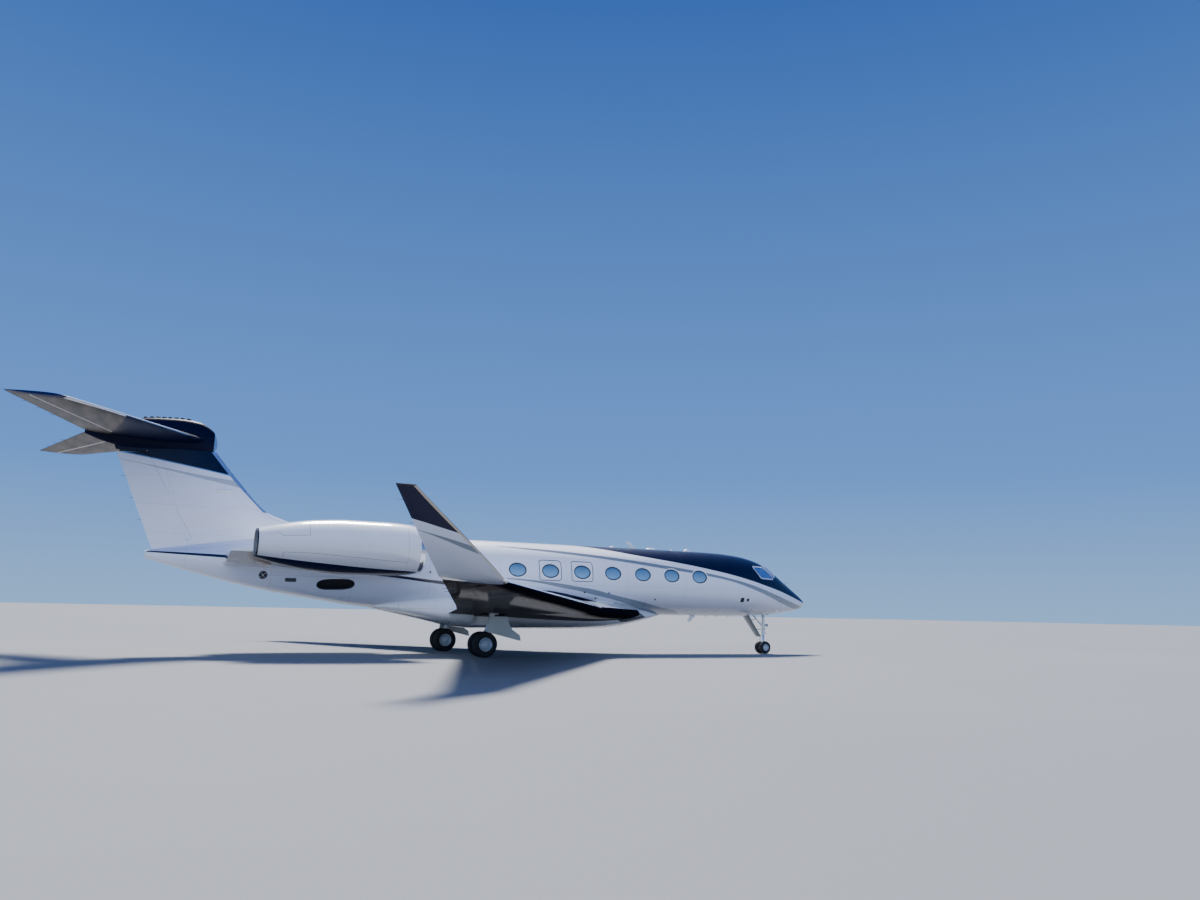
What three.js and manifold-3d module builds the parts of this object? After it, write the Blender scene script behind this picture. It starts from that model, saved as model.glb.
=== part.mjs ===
// A twin-engined business jet with a T-tail and winglets, parked on its own landing gear.
// Units are millimetres. X points forward, Y to port and Z up. The origin is on the ground,
// half-way between the tip of the nose and the tips of the tailplane.
// Stations are measured aft from the tip of the nose, as on a fuselage drawing.

import * as THREE from "three";
import { mergeVertices } from "three/addons/utils/BufferGeometryUtils.js";
import Module from "manifold-3d";

const wasm = await Module();
wasm.setup();

// Driving dimensions
const LENGTH = 30420; // nose tip to tailplane tips
const NOSE_X = LENGTH / 2;
const FIT = 0.4; // gap between pieces that are fastened together
const CLEAR = 10; // gap round a piece that moves
const SKIN = 90; // depth of the fuselage wall: skin, frames and lining
const FLOOR_TOP = 2130;
const FLOOR_DEPTH = 90;
const FAR = 4000; // longer than any piece is deep, for cutting tools

const at = (station) => NOSE_X - station;

// Materials
const paint = (color, roughness = 0.3, metalness = 0) =>
  new THREE.MeshStandardMaterial({ color, roughness, metalness });
const white = paint(0xe6e9ee, 0.2);
const composite = paint(0xdde1e8, 0.25);
const navy = paint(0x0c1436, 0.15);
const bareMetal = paint(0xb9bcc2, 0.25, 0.9);
const darkMetal = paint(0x4b4d52, 0.45, 0.8);
const glass = paint(0x5f7d97, 0.08);
const rubber = paint(0x17171a, 0.85);
const gearPaint = paint(0xc9ccd0, 0.4);
const hubPaint = paint(0x9aa3ad, 0.35, 0.5);
const leather = paint(0xc8bda8, 0.6);
const carpet = paint(0x6d6459, 0.95);
const cabinTrim = paint(0xbfb6a6, 0.5);

// A smooth curve through a column of a table whose first column is the station. It never overshoots.
function curve(table, column) {
  const x = table.map((row) => row[0]);
  const y = table.map((row) => row[column]);
  const rise = x.slice(1).map((v, i) => (y[i + 1] - y[i]) / (v - x[i]));
  const slope = y.map((_, i) => {
    if (i === 0) return rise[0];
    if (i === y.length - 1) return rise[i - 1];
    const [a, b] = [rise[i - 1], rise[i]];
    return a * b <= 0 ? 0 : (2 * a * b) / (a + b);
  });
  return (at_) => {
    const v = Math.min(Math.max(at_, x[0]), x[x.length - 1]);
    let i = 0;
    while (i < x.length - 2 && v > x[i + 1]) i += 1;
    const h = x[i + 1] - x[i];
    const t = (v - x[i]) / h;
    return (
      y[i] * (1 + 2 * t) * (1 - t) ** 2 +
      slope[i] * h * t * (1 - t) ** 2 +
      y[i + 1] * t * t * (3 - 2 * t) +
      slope[i + 1] * h * t * t * (t - 1)
    );
  };
}

const manifoldOf = (vertProperties, triVerts) =>
  new wasm.Manifold(new wasm.Mesh({ numProp: 3, vertProperties, triVerts }));

// A closed three.js geometry as a manifold-3d solid
function solid(geometry) {
  const plain = geometry.index ? geometry.toNonIndexed() : geometry;
  const bare = new THREE.BufferGeometry();
  bare.setAttribute("position", plain.getAttribute("position").clone());
  const merged = mergeVertices(bare, 0.01);
  const triVerts = [];
  for (let i = 0; i < merged.index.count; i += 3) {
    const [a, b, c] = [0, 1, 2].map((k) => merged.index.getX(i + k));
    if (a !== b && b !== c && c !== a) triVerts.push(a, b, c);
  }
  return manifoldOf(merged.attributes.position.array, new Uint32Array(triVerts));
}

// The same solid on the other side of the aircraft
function mirror(body) {
  const { vertProperties, triVerts } = body.getMesh();
  return manifoldOf(vertProperties.map((v, i) => (i % 3 === 1 ? -v : v)), triVerts.toReversed());
}

// The biggest single piece of a solid, which drops slivers that a cut leaves loose
function biggest(body) {
  return body.decompose().reduce((a, b) => (b.volume() > a.volume() ? b : a));
}

// A solid's surface as a three.js geometry
function geometryOf(body) {
  const { vertProperties, triVerts } = biggest(body).getMesh();
  const geometry = new THREE.BufferGeometry();
  geometry.setAttribute("position", new THREE.BufferAttribute(vertProperties, 3));
  geometry.setIndex(new THREE.BufferAttribute(triVerts, 1));
  geometry.computeVertexNormals();
  return geometry;
}

// A closed body through rings of [x, y, z], with a flat fan over each end
function loft(rings) {
  const n = rings[0].length;
  const points = rings.flat();
  const corners = [];
  // The far half's diagonals mirror those of the near half, so a body with two like sides stays so.
  for (let i = 0; i < rings.length - 1; i += 1) {
    for (let j = 0; j < n; j += 1) {
      const [a, b] = [i * n + j, i * n + ((j + 1) % n)];
      if (j < n / 2) corners.push(a, b, b + n, a, b + n, a + n);
      else corners.push(a, b, a + n, b, b + n, a + n);
    }
  }
  for (const [ring, start, turn] of [[rings[0], 0, false], [rings.at(-1), (rings.length - 1) * n, true]]) {
    const middle = points.length;
    points.push([0, 1, 2].map((k) => ring.reduce((sum, p) => sum + p[k], 0) / n));
    for (let j = 0; j < n; j += 1) {
      const [a, b] = [start + j, start + ((j + 1) % n)];
      corners.push(...(turn ? [a, b, middle] : [b, a, middle]));
    }
  }
  const build = (order) => {
    const geometry = new THREE.BufferGeometry();
    geometry.setAttribute("position", new THREE.Float32BufferAttribute(points.flat(), 3));
    geometry.setIndex(order);
    return solid(geometry);
  };
  const body = build(corners);
  if (body.volume() > 0) return body;
  const turned = corners.map((_, i) => corners[i - (i % 3) + (2 - (i % 3))]);
  return build(turned);
}

// A box from its lowest and highest corners
function box(low, high) {
  const size = high.map((v, i) => v - low[i]);
  const geometry = new THREE.BoxGeometry(...size);
  geometry.translate(...low.map((v, i) => v + size[i] / 2));
  return solid(geometry);
}

// A round bar between two points
function bar(from, to, radius, sides = 20, endRadius = radius) {
  const [a, b] = [new THREE.Vector3(...from), new THREE.Vector3(...to)];
  const along = b.clone().sub(a);
  const geometry = new THREE.CylinderGeometry(endRadius, radius, along.length(), sides);
  const upright = new THREE.Vector3(0, 1, 0);
  geometry.applyQuaternion(new THREE.Quaternion().setFromUnitVectors(upright, along.normalize()));
  geometry.translate(...a.add(b).multiplyScalar(0.5).toArray());
  return solid(geometry);
}

// A flat outline of [u, v] pushed through the third direction.
// For "z" the outline is in x and y, for "y" in x and z, and for "x" in y and z.
function prism(outline, direction, low, high) {
  const place = {
    z: (u, v, w) => [u, v, w],
    y: (u, v, w) => [u, w, v],
    x: (u, v, w) => [w, u, v],
  }[direction];
  return loft([low, high].map((w) => outline.map(([u, v]) => place(u, v, w))));
}

// Points round an oval
const oval = (u, v, halfU, halfV, sides) =>
  Array.from({ length: sides }, (_, i) => {
    const a = ((i + 0.5) / sides) * 2 * Math.PI;
    return [u + halfU * Math.cos(a), v + halfV * Math.sin(a)];
  });

// An outline with straight sides moved outwards by a distance
function grown(outline, by) {
  const area = outline.reduce((sum, [u, v], i) => {
    const [p, q] = outline[(i + 1) % outline.length];
    return sum + u * q - p * v;
  }, 0);
  const side = Math.sign(area) * by;
  const edges = outline.map(([u, v], i) => {
    const [p, q] = outline[(i + 1) % outline.length];
    const length = Math.hypot(p - u, q - v);
    const out = [(q - v) / length, -(p - u) / length];
    return { u: u + out[0] * side, v: v + out[1] * side, du: p - u, dv: q - v };
  });
  return edges.map((edge, i) => {
    const last = edges[(i + edges.length - 1) % edges.length];
    const cross = last.du * edge.dv - last.dv * edge.du;
    const t = ((edge.u - last.u) * edge.dv - (edge.v - last.v) * edge.du) / cross;
    return [last.u + last.du * t, last.v + last.dv * t];
  });
}

// A body of revolution round a line along X, from a closed or axis-to-axis outline of [station, radius]
function turned(outline, y, z, sides) {
  const points = outline.map(([station, radius]) => new THREE.Vector2(radius, at(station)));
  const build = (profile) => {
    const geometry = new THREE.LatheGeometry(profile, sides, Math.PI / sides);
    return solid(geometry.rotateZ(-Math.PI / 2).translate(0, y, z));
  };
  const body = build(points);
  return body.volume() > 0 ? body : build(points.reverse());
}

// A round pad with a flat underside, for a jack or a coupling
const PAD_RADIUS = 60;
const pad = ({ station, y, low, high }) => bar([at(station), y, low], [at(station), y, high], PAD_RADIUS, 12);

const jet = new THREE.Group();
const starboard = new THREE.Group(); // what is in it is drawn to port and mirrored
starboard.scale.y = -1;
jet.add(starboard);
function add(name, body, material, group = jet) {
  const mesh = new THREE.Mesh(geometryOf(body), material);
  mesh.name = name;
  group.add(mesh);
}

// Adds a port piece and its mirror image to starboard
function addPair(name, body, material) {
  add(name + "_left", body, material);
  add(name + "_right", body, material, starboard);
}

// Fuselage
const BODY = [
  // station, crown, keel, half width, height of the widest point
  [0, 2178, 2142, 20, 2160],
  [40, 2272, 2058, 95, 2163],
  [150, 2375, 1985, 185, 2172],
  [400, 2550, 1905, 318, 2200],
  [760, 2785, 1828, 455, 2245],
  [1300, 3140, 1738, 640, 2330],
  [2000, 3600, 1645, 850, 2460],
  [2500, 3850, 1605, 975, 2560],
  [3150, 4035, 1584, 1095, 2660],
  [3800, 4132, 1572, 1185, 2740],
  [4600, 4190, 1562, 1270, 2805],
  [5600, 4212, 1557, 1335, 2850],
  [7000, 4215, 1555, 1370, 2880],
  [12000, 4214, 1555, 1370, 2880],
  [16500, 4212, 1555, 1370, 2880],
  [18000, 4205, 1562, 1340, 2890],
  [19500, 4160, 1650, 1255, 2930],
  [21500, 4040, 1915, 1045, 3010],
  [23500, 3840, 2255, 760, 3090],
  [25500, 3520, 2745, 430, 3170],
  [26650, 3325, 3065, 130, 3195],
];
const crown = curve(BODY, 1);
const keel = curve(BODY, 2);
const half = curve(BODY, 3);
const waist = curve(BODY, 4);
const AROUND = 28;

// A fuselage section, moved outwards by a distance, or inwards where it is negative
function section(station, out) {
  const [top, bottom, wide, middle] = [crown, keel, half, waist].map((f) => f(station));
  return Array.from({ length: AROUND }, (_, i) => {
    const a = (i / AROUND) * 2 * Math.PI;
    const rise = Math.cos(a) > 0 ? top + out - middle : middle - bottom + out;
    return [at(station), (wide + out) * Math.sin(a), middle + rise * Math.cos(a)];
  });
}
const BODY_STATIONS = BODY.map((row) => row[0]);
const BODY_END = BODY_STATIONS.at(-1);
const hull = (out, from = 0, to = BODY_END) =>
  loft([from, ...BODY_STATIONS.filter((s) => s > from && s < to), to].map((s) => section(s, out)));
const outer = hull(0);
const trim = hull(FIT);
const CABIN_ROOM = [1250, 17020];
const BAY_ROOM = [17100, 25500];
const cabinRoom = hull(-SKIN, ...CABIN_ROOM);
const bayRoom = hull(-SKIN, ...BAY_ROOM);
const between = (from, to) => box([at(to), -FAR, -FAR], [at(from), FAR, 2 * FAR]);

// Cabin windows
const WINDOW_FIRST = 6264;
const WINDOW_PITCH = 1322;
const WINDOW_COUNT = 8;
const WINDOW_HEIGHT = 3110; // centre above the ground
const WINDOW_HALF = [355, 262];
const WINDOW_SIDES = 12;
const windows = Array.from({ length: WINDOW_COUNT }, (_, i) => at(WINDOW_FIRST + i * WINDOW_PITCH));
const windowHole = (x, out, from, to) =>
  prism(oval(x, WINDOW_HEIGHT, WINDOW_HALF[0] + out, WINDOW_HALF[1] + out, WINDOW_SIDES), "y", from, to);

// Flight-deck windows, port side: the side window is seen from the side, the windscreen from above
const placed = (outline) => outline.map(([station, across]) => [at(station), across]);
const SIDE_WINDOW = placed([[3190, 3640], [2590, 3625], [2150, 3180], [2940, 3205]]);
const WINDSCREEN = placed([[1780, 45], [2010, 600], [2480, 490], [2440, 45]]);
const GLASS_DEPTH = 25;
const sidePane = (out) => prism(grown(SIDE_WINDOW, out), "y", 300, FAR);
const screenPane = (out) => prism(grown(WINDSCREEN, out), "z", 2800, FAR + 1000);
const glassLayer = hull(0, 1300, 7000).subtract(hull(-GLASS_DEPTH, 1200, 7100));

// Entry door with its stairs, port side, hinged at its sill
const DOOR = { front: 4060, back: 4980, sill: 2010, top: 3800 };
const DOOR_HINGE = { y: 985, z: 2000 };
const doorReach = DOOR.top - DOOR_HINGE.z;
function doorTool(out) {
  const rim = [[DOOR_HINGE.y - 600, DOOR.sill - out], [DOOR_HINGE.y + 500, DOOR.sill - out]];
  const steps = 8;
  for (let i = 0; i <= steps; i += 1) {
    const a = THREE.MathUtils.degToRad(70 + (40 * i) / steps);
    const r = doorReach + out;
    rim.push([DOOR_HINGE.y + r * Math.cos(a), DOOR_HINGE.z + r * Math.sin(a)]);
  }
  return prism(rim, "x", at(DOOR.back + out), at(DOOR.front - out));
}

// Baggage door, port side below the engine
const BAGGAGE = { front: 19350, back: 20270, low: 2080, high: 2700 };
const baggageTool = (out) =>
  box([at(BAGGAGE.back + out), 300, BAGGAGE.low - out], [at(BAGGAGE.front - out), FAR, BAGGAGE.high + out]);

// Joints between the fuselage sections
const RADOME_END = 1300;
const COCKPIT_END = 3850;
const ENTRY_END = 5250;
const CABIN_END = 17200;
const CONE_START = 25500;

let shell = outer.subtract(cabinRoom).subtract(bayRoom);
for (const x of windows) shell = shell.subtract(windowHole(x, 0, -FAR, FAR));
for (const pane of [sidePane(0), screenPane(0)]) shell = shell.subtract(pane).subtract(mirror(pane));
shell = shell.subtract(doorTool(CLEAR));
shell = shell.subtract(baggageTool(CLEAR));

// Nose-gear slot in the belly of the flight deck
const NOSE_BAY = { front: 1990, back: 3130, halfWidth: 270 };
shell = shell.subtract(
  box([at(NOSE_BAY.back), -NOSE_BAY.halfWidth, 0], [at(NOSE_BAY.front), NOSE_BAY.halfWidth, 2000]),
);

const NOSE_JACK = { station: 3560, y: 0, low: 1565, high: 1650 };
shell = shell.add(pad(NOSE_JACK));

const RADOME_WALL = 30;
const radome = outer.intersect(between(-10, RADOME_END - FIT)).subtract(hull(-RADOME_WALL, 150, 2500));
add("radome", radome, composite);
add("cockpit_section", shell.intersect(between(RADOME_END, COCKPIT_END - FIT)), white);
add("entry_section", shell.intersect(between(COCKPIT_END, ENTRY_END - FIT)), white);
add("cabin_section", shell.intersect(between(ENTRY_END, CABIN_END - FIT)), white);
add("aft_fuselage", shell.intersect(between(CABIN_END, CONE_START - FIT)), white);
const APU_PIPE = { from: 26250, to: 26800, z: 3195, radius: 95 };
const [pipeStart, pipeEnd] = [APU_PIPE.from, APU_PIPE.to].map((station) => [at(station), 0, APU_PIPE.z]);
const exhaustHole = bar(pipeStart, pipeEnd, APU_PIPE.radius, 16);
add("tail_cone", outer.intersect(between(CONE_START, APU_PIPE.to)).subtract(exhaustHole), bareMetal);

// Glazing: each flight-deck pane is its own piece, and a thin strip behind the wall
// carries each side's cabin panes
const sideGlass = glassLayer.intersect(sidePane(-FIT));
const screenGlass = glassLayer.intersect(screenPane(-FIT));
addPair("side_window", sideGlass, glass);
addPair("windscreen", screenGlass, glass);
const STRIP_DEPTH = 12;
const stripBox = box([at(15950), 500, 2800], [at(5830), FAR, 3420]);
const layer = (outside, inside) => hull(-outside, 5300, 16950).subtract(hull(-inside, 5200, 17000));
let cabinGlass = layer(SKIN + FIT, SKIN + FIT + STRIP_DEPTH).intersect(stripBox);
const paneLayer = layer(GLASS_DEPTH, SKIN + FIT + STRIP_DEPTH / 2);
for (const x of windows) cabinGlass = cabinGlass.add(paneLayer.intersect(windowHole(x, -FIT, 500, FAR)));
addPair("cabin_windows", cabinGlass, glass);

// Doors
const DOOR_DEPTH = 80;
let door = outer.subtract(hull(-DOOR_DEPTH, 3000, 7000)).intersect(doorTool(0));
// The treads lie level when the door hangs open, so with the door shut they slope up and inwards.
const STAIR = { count: 6, first: 150, pitch: 250, tread: 40, depth: 230 };
const stairRoom = hull(-DOOR_DEPTH + 5, 3000, 7000);
const doorMiddle = (DOOR.front + DOOR.back) / 2;
const skinAt = (z) => {
  const [top, bottom, wide, middle] = [crown, keel, half, waist].map((f) => f(doorMiddle));
  const rise = z > middle ? top - middle : middle - bottom;
  return wide * Math.sqrt(1 - ((z - middle) / rise) ** 2);
};
for (let i = 0; i < STAIR.count; i += 1) {
  const low = DOOR.sill + STAIR.first + i * STAIR.pitch;
  const root = skinAt(low) - DOOR_DEPTH + 40;
  const outline = [[root, low], [root - STAIR.depth, low + STAIR.depth]];
  outline.push([root - STAIR.depth, low + STAIR.depth + STAIR.tread], [root, low + STAIR.tread]);
  door = door.add(prism(outline, "x", at(DOOR.back - 90), at(DOOR.front + 90)).intersect(stairRoom));
}
add("entry_door", door, white);
add("baggage_door", outer.subtract(hull(-60, 18000, 24000)).intersect(baggageTool(0)), white);

// Belly fairing that carries the wing root
const FAIRING = [
  // station, keel, half width, height of its upper edge
  [7400, 1560, 150, 1640],
  [8100, 1390, 640, 1760],
  [8900, 1215, 1010, 1900],
  [9700, 1060, 1290, 2050],
  [10600, 985, 1480, 2160],
  [12000, 950, 1560, 2200],
  [15600, 950, 1560, 2200],
  [16600, 1065, 1480, 2150],
  [17600, 1270, 1250, 2050],
  [18600, 1480, 850, 1900],
  [19300, 1620, 350, 1780],
];
const [fairKeel, fairHalf, fairTop] = [1, 2, 3].map((c) => curve(FAIRING, c));
function fairingSection(station) {
  const [bottom, wide, top] = [fairKeel(station), fairHalf(station), fairTop(station)];
  const middle = bottom + (top - bottom) * 0.45;
  return Array.from({ length: 20 }, (_, i) => {
    const a = (i / 20) * 2 * Math.PI;
    const [c, s] = [Math.cos(a), Math.sin(a)];
    const flat = (v) => Math.sign(v) * Math.abs(v) ** 0.75;
    const rise = c > 0 ? top - middle : middle - bottom;
    return [at(station), wide * flat(s), middle + rise * flat(c)];
  });
}
let fairing = loft(FAIRING.map((row) => fairingSection(row[0]))).subtract(trim);

// Aerofoil section: share of chord, then half-thickness as a share of chord for a thickness of one
const SHARES = [0, 0.008, 0.03, 0.075, 0.15, 0.26, 0.4, 0.56, 0.72, 0.87, 1];
const EDGE = 5; // half the thickness of a trailing edge
const CAMBER = 0.012; // rise of the middle line, as a share of chord
// Half the thickness at a share of the chord, by the usual four-digit formula
const thicknessAt = (x) =>
  5 * (0.2969 * Math.sqrt(x) - 0.126 * x - 0.3516 * x ** 2 + 0.2843 * x ** 3 - 0.1036 * x ** 4);
function aerofoil(row, out = 0) {
  const { y, z, le, chord, thick, tilt = 0, twist = 0, camber = CAMBER } = row;
  const lean = THREE.MathUtils.degToRad(tilt);
  const nose = THREE.MathUtils.degToRad(twist);
  const height = (x) => Math.max(thick * thicknessAt(x) * chord, EDGE) + out;
  const place = (x, side) => {
    const along = x * chord + out * (x < 0.5 ? -1 : 1) * Math.abs(1 - 2 * x);
    const middle = camber * chord * Math.sin(Math.PI * x) - along * Math.tan(nose);
    const up = middle + side * (x === 0 ? 0 : height(x));
    return [at(le + along), y - up * Math.sin(lean), z + up * Math.cos(lean)];
  };
  const upper = SHARES.map((x) => place(x, 1));
  const lower = SHARES.slice(1).map((x) => place(x, -1));
  return [...upper.reverse(), ...lower];
}
const surface = (rows, out = 0) => loft(rows.map((row) => aerofoil(row, out)));

// Wing, port side
const WING = [
  { y: 1000, z: 1600, le: 8850, chord: 7900, thick: 0.1, twist: 1.2 },
  { y: 3000, z: 1705, le: 11480, chord: 5520, thick: 0.115, twist: 0.8 },
  { y: 4600, z: 1785, le: 12640, chord: 4920, thick: 0.105, twist: 0.3 },
  { y: 13720, z: 2241, le: 19270, chord: 1540, thick: 0.09, twist: -1 },
];
const wingAt = (y, key) => {
  const i = WING.findIndex((row, k) => k > 0 && y <= row.y);
  const [a, b] = [WING[i - 1], WING[i]];
  return a[key] + ((b[key] - a[key]) * (y - a.y)) / (b.y - a.y);
};
// Height of the wing's middle surface at a station
const wingMiddle = (station, y) => {
  const [z, le, chord, twist] = ["z", "le", "chord", "twist"].map((key) => wingAt(y, key));
  const x = (station - le) / chord;
  const fall = (station - le) * Math.tan(THREE.MathUtils.degToRad(twist));
  return z + CAMBER * chord * Math.sin(Math.PI * x) - fall;
};
const wingWhole = surface(WING);
const wingRoom = surface(WING, FIT * 1.5);
fairing = fairing.subtract(wingRoom).subtract(mirror(wingRoom));

// A hinged surface cut out of a wing: its outline, and its hinge with a round nose on it.
// The slot that it moves in has an outline of its own where the hinge is swept, and runs on past its ends.
const SLOT_END = 30;
function hinged(whole, outline, direction, hinge, noseRadius, reach, slot = outline) {
  const [from, to] = hinge.map((p) => new THREE.Vector3(...p));
  const along = to.clone().sub(from).normalize();
  const stretch = (by) => [from.clone().addScaledVector(along, -by), to.clone().addScaledVector(along, by)];
  const ends = (by) => stretch(by).map((p) => p.toArray());
  const tool = prism(outline, direction, ...reach).add(bar(...ends(0), noseRadius, 16));
  const room = prism(grown(slot, CLEAR), direction, ...reach);
  const noseRoom = bar(...ends(SLOT_END), noseRadius + CLEAR, 16);
  return { piece: whole.intersect(tool), rest: whole.subtract(room.add(noseRoom)) };
}

// Aileron: front corners first, inboard to outboard
const AILERON = {
  frontIn: [18650, 9720],
  frontOut: [20200, 13200],
  aftOut: [20839, 12915],
  aftIn: [19563, 9313],
};
const aileronHinge = [AILERON.frontIn, AILERON.frontOut].map(([s, y]) => [at(s), y, wingMiddle(s, y)]);
const AILERON_NOSE = 95;
const plan = (shape) => placed(Object.values(shape));
const aileron = hinged(wingWhole, plan(AILERON), "z", aileronHinge, AILERON_NOSE, [0, FAR]);

// Flap: it swings down and back about a hinge below the wing. The hinge isn't quite level, so the
// flap drifts sideways as it swings, and its slot is longer than the flap.
const FLAP = {
  frontIn: [16200, 2100],
  frontOut: [18500, 9550],
  aftOut: [19551, 9225],
  aftIn: [17633, 1658],
};
const FLAP_SLOT = {
  frontIn: [16195, 2084],
  frontOut: [18505, 9566],
  aftOut: [19556, 9241],
  aftIn: [17628, 1642],
};
const FLAP_DROP = 420; // hinge below the wing's middle surface
const flapHinge = [FLAP.frontIn, FLAP.frontOut].map(([s, y]) => [at(s), y, wingMiddle(s, y) - FLAP_DROP]);
const flapTool = prism(plan(FLAP), "z", 0, FAR);
const flap = wingWhole.intersect(flapTool);
let wing = aileron.rest.subtract(prism(grown(plan(FLAP_SLOT), CLEAR), "z", 0, FAR)).subtract(trim);

// Main gear, port side
const MAIN = {
  station: 15810,
  y: 2330,
  tyreRadius: 445,
  tyreWidth: 280,
  spacing: 500,
  rimRadius: 225,
  axleRadius: 48,
};
const WHEEL_SIDES = 20;
const axleHeight = (radius) => radius * Math.cos(Math.PI / WHEEL_SIDES);
const mainAxle = [at(MAIN.station), MAIN.y, axleHeight(MAIN.tyreRadius)];
const LEG_TOP = [at(15450), MAIN.y, 1560];
const WELL = { front: 14980, back: 15900, inner: 1900, outer: 2780, roof: 1645 };
const well = box([at(WELL.back), WELL.inner, 0], [at(WELL.front), WELL.outer, WELL.roof]);
wing = wing.subtract(well);
const fairingWell = box([at(WELL.back), 1200, 0], [at(WELL.front), WELL.outer, 1500]);
fairing = fairing.subtract(fairingWell).subtract(mirror(fairingWell));

// A jack pad below each wing, and the fuelling coupling below the starboard one
const WING_JACK = { station: 14300, y: 1980, low: 1370, high: 1500 };
const FUEL_COUPLING = { station: 13300, y: 2900, low: 1380, high: 1500 };
wing = wing.add(pad(WING_JACK));
add("wing_left", wing, white);
add("wing_right", wing.add(pad(FUEL_COUPLING)), white, starboard);
addPair("flap", flap, white);
addPair("aileron", aileron.piece, white);

// Winglet, joined to the wing tip
const WINGLET = [
  { y: 13720 + FIT, z: 2241, le: 19270, chord: 1540, thick: 0.09, twist: -1 },
  { y: 14020, z: 2330, le: 19560, chord: 1420, thick: 0.085, tilt: 28, camber: 0 },
  { y: 14230, z: 2530, le: 19860, chord: 1300, thick: 0.08, tilt: 52, camber: 0 },
  { y: 15166, z: 4125, le: 21900, chord: 420, thick: 0.08, tilt: 60, camber: 0 },
];
addPair("winglet", surface(WINGLET), composite);
add("belly_fairing", fairing, composite);

// Fin
const FIN = [
  // height, leading edge, trailing edge, thickness share
  [3250, 20900, 26420, 0.05],
  [4150, 20950, 26800, 0.05],
  [4450, 22100, 26925, 0.065],
  [4740, 22930, 27050, 0.075],
  [5730, 23930, 27465, 0.08],
  [6700, 24760, 27870, 0.085],
];
const finRing = ([z, le, te, thick]) => {
  const chord = te - le;
  return aerofoil({ y: 0, z: 0, le, chord, thick, camber: 0 }).map(([x, , up]) => [x, up, z]);
};
const finWhole = loft(FIN.map(finRing));
// The hinge leans back, so the rudder's upper edge rises as it swings, and its slot is higher there.
const RUDDER = placed([[25387, 3740], [26942, 6510], [28400, 6440], [27200, 3430]]);
const RUDDER_SLOT = placed([[25387, 3740], [26953, 6530], [28400, 6540], [27200, 3430]]);
const rudderHinge = [RUDDER[0], RUDDER[1]].map(([x, z]) => [x, 0, z]);
const RUDDER_NOSE = 110;
const rudder = hinged(finWhole, RUDDER, "y", rudderHinge, RUDDER_NOSE, [-FAR, FAR], RUDDER_SLOT);

// Bullet on top of the fin, through which the tailplane passes
const BULLET = [
  // station, crown, keel, half width
  [24760, 7080, 6800, 60],
  [24900, 7400, 6680, 150],
  [25400, 7680, 6640, 235],
  [25900, 7730, 6620, 255],
  [26700, 7700, 6610, 255],
  [27500, 7570, 6640, 225],
  [28150, 7370, 6760, 160],
  [28750, 7120, 6980, 30],
];
const bulletSection = ([station, top, bottom, wide]) =>
  Array.from({ length: 16 }, (_, i) => {
    const a = (i / 16) * 2 * Math.PI;
    const [middle, rise] = [(top + bottom) / 2, (top - bottom) / 2];
    return [at(station), wide * Math.sin(a), middle + rise * Math.cos(a)];
  });
let bullet = loft(BULLET.map(bulletSection));

// Tailplane, both sides in one piece, with an elevator on each side
const TAIL = [
  { y: 0, z: 7060, le: 25050, chord: 3640, thick: 0.095, camber: 0 },
  { y: 5350, z: 7060, le: 28870, chord: 1500, thick: 0.09, camber: 0 },
  { y: 5600, z: 7060, le: 29100, chord: 1320, thick: 0.06, camber: 0 },
];
const tailHalf = (out) => surface(TAIL, out);
// The hinge is swept, so the inboard edge moves towards the bullet as the elevator swings.
const ELEVATOR = {
  frontIn: [27777, 300],
  frontOut: [29640, 4850],
  aftOut: [30400, 4539],
  aftIn: [29400, 300],
};
const ELEVATOR_SLOT = { ...ELEVATOR, aftIn: [29400, -60] };
const elevatorHinge = [ELEVATOR.frontIn, ELEVATOR.frontOut].map(([s, y]) => [at(s), y, TAIL[0].z]);
const ELEVATOR_NOSE = 105;
const elevator = hinged(
  tailHalf(0), plan(ELEVATOR), "z", elevatorHinge, ELEVATOR_NOSE, [6000, 8000], plan(ELEVATOR_SLOT),
);
const tailplane = elevator.rest.add(mirror(elevator.rest));
bullet = bullet.subtract(tailHalf(FIT)).subtract(mirror(tailHalf(FIT)));
const bulletRoom = loft(
  BULLET.map(([s, top, bottom, wide]) => bulletSection([s, top + FIT, bottom - FIT, wide + FIT])),
);
add("fin", rudder.rest.subtract(trim).subtract(bulletRoom), white);
add("rudder", rudder.piece.subtract(bulletRoom), composite);
add("tail_bullet", bullet, navy);
add("tailplane", tailplane, white);
addPair("elevator", elevator.piece, composite);

// Engines, port side
const ENGINE = { y: 2500, z: 3570 };
const DUCT_SIDES = 24;
// Outlines of [station, radius]
const COWL = [
  [18200, 700], [18290, 770], [18700, 850], [19500, 888],
  [20700, 888], [21800, 820], [22800, 660], [23560, 465],
];
const DUCT = [[18200, 690], [18290, 645], [18700, 630], [21400, 640], [22600, 540], [23560, 440]];
const nacelleOutline = [...COWL, ...DUCT.toReversed(), COWL[0]];
const nacelle = turned(nacelleOutline, ENGINE.y, ENGINE.z, DUCT_SIDES);
const CORE = [[19640, 0], [19640, 330], [20300, 430], [21600, 420], [22400, 330], [22900, 120], [23200, 0]];
let core = turned(CORE, ENGINE.y, ENGINE.z, 16);
// The nacelle's outer or inner surface as a plug, moved outwards or inwards to leave a gap
const plug = (outline, by) =>
  turned([[18199, 0], ...outline.map(([s, r]) => [s, r + by]), [23561, 0]], ENGINE.y, ENGINE.z, DUCT_SIDES);
const duct = plug(DUCT, -FIT);
// Four struts, as two crossed plates, hold the core in the duct
for (const [wide, tall] of [[800, 25], [25, 800]]) {
  const strut = box(
    [at(21500), ENGINE.y - wide, ENGINE.z - tall],
    [at(20300), ENGINE.y + wide, ENGINE.z + tall],
  );
  core = core.add(strut.intersect(duct));
}

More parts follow.
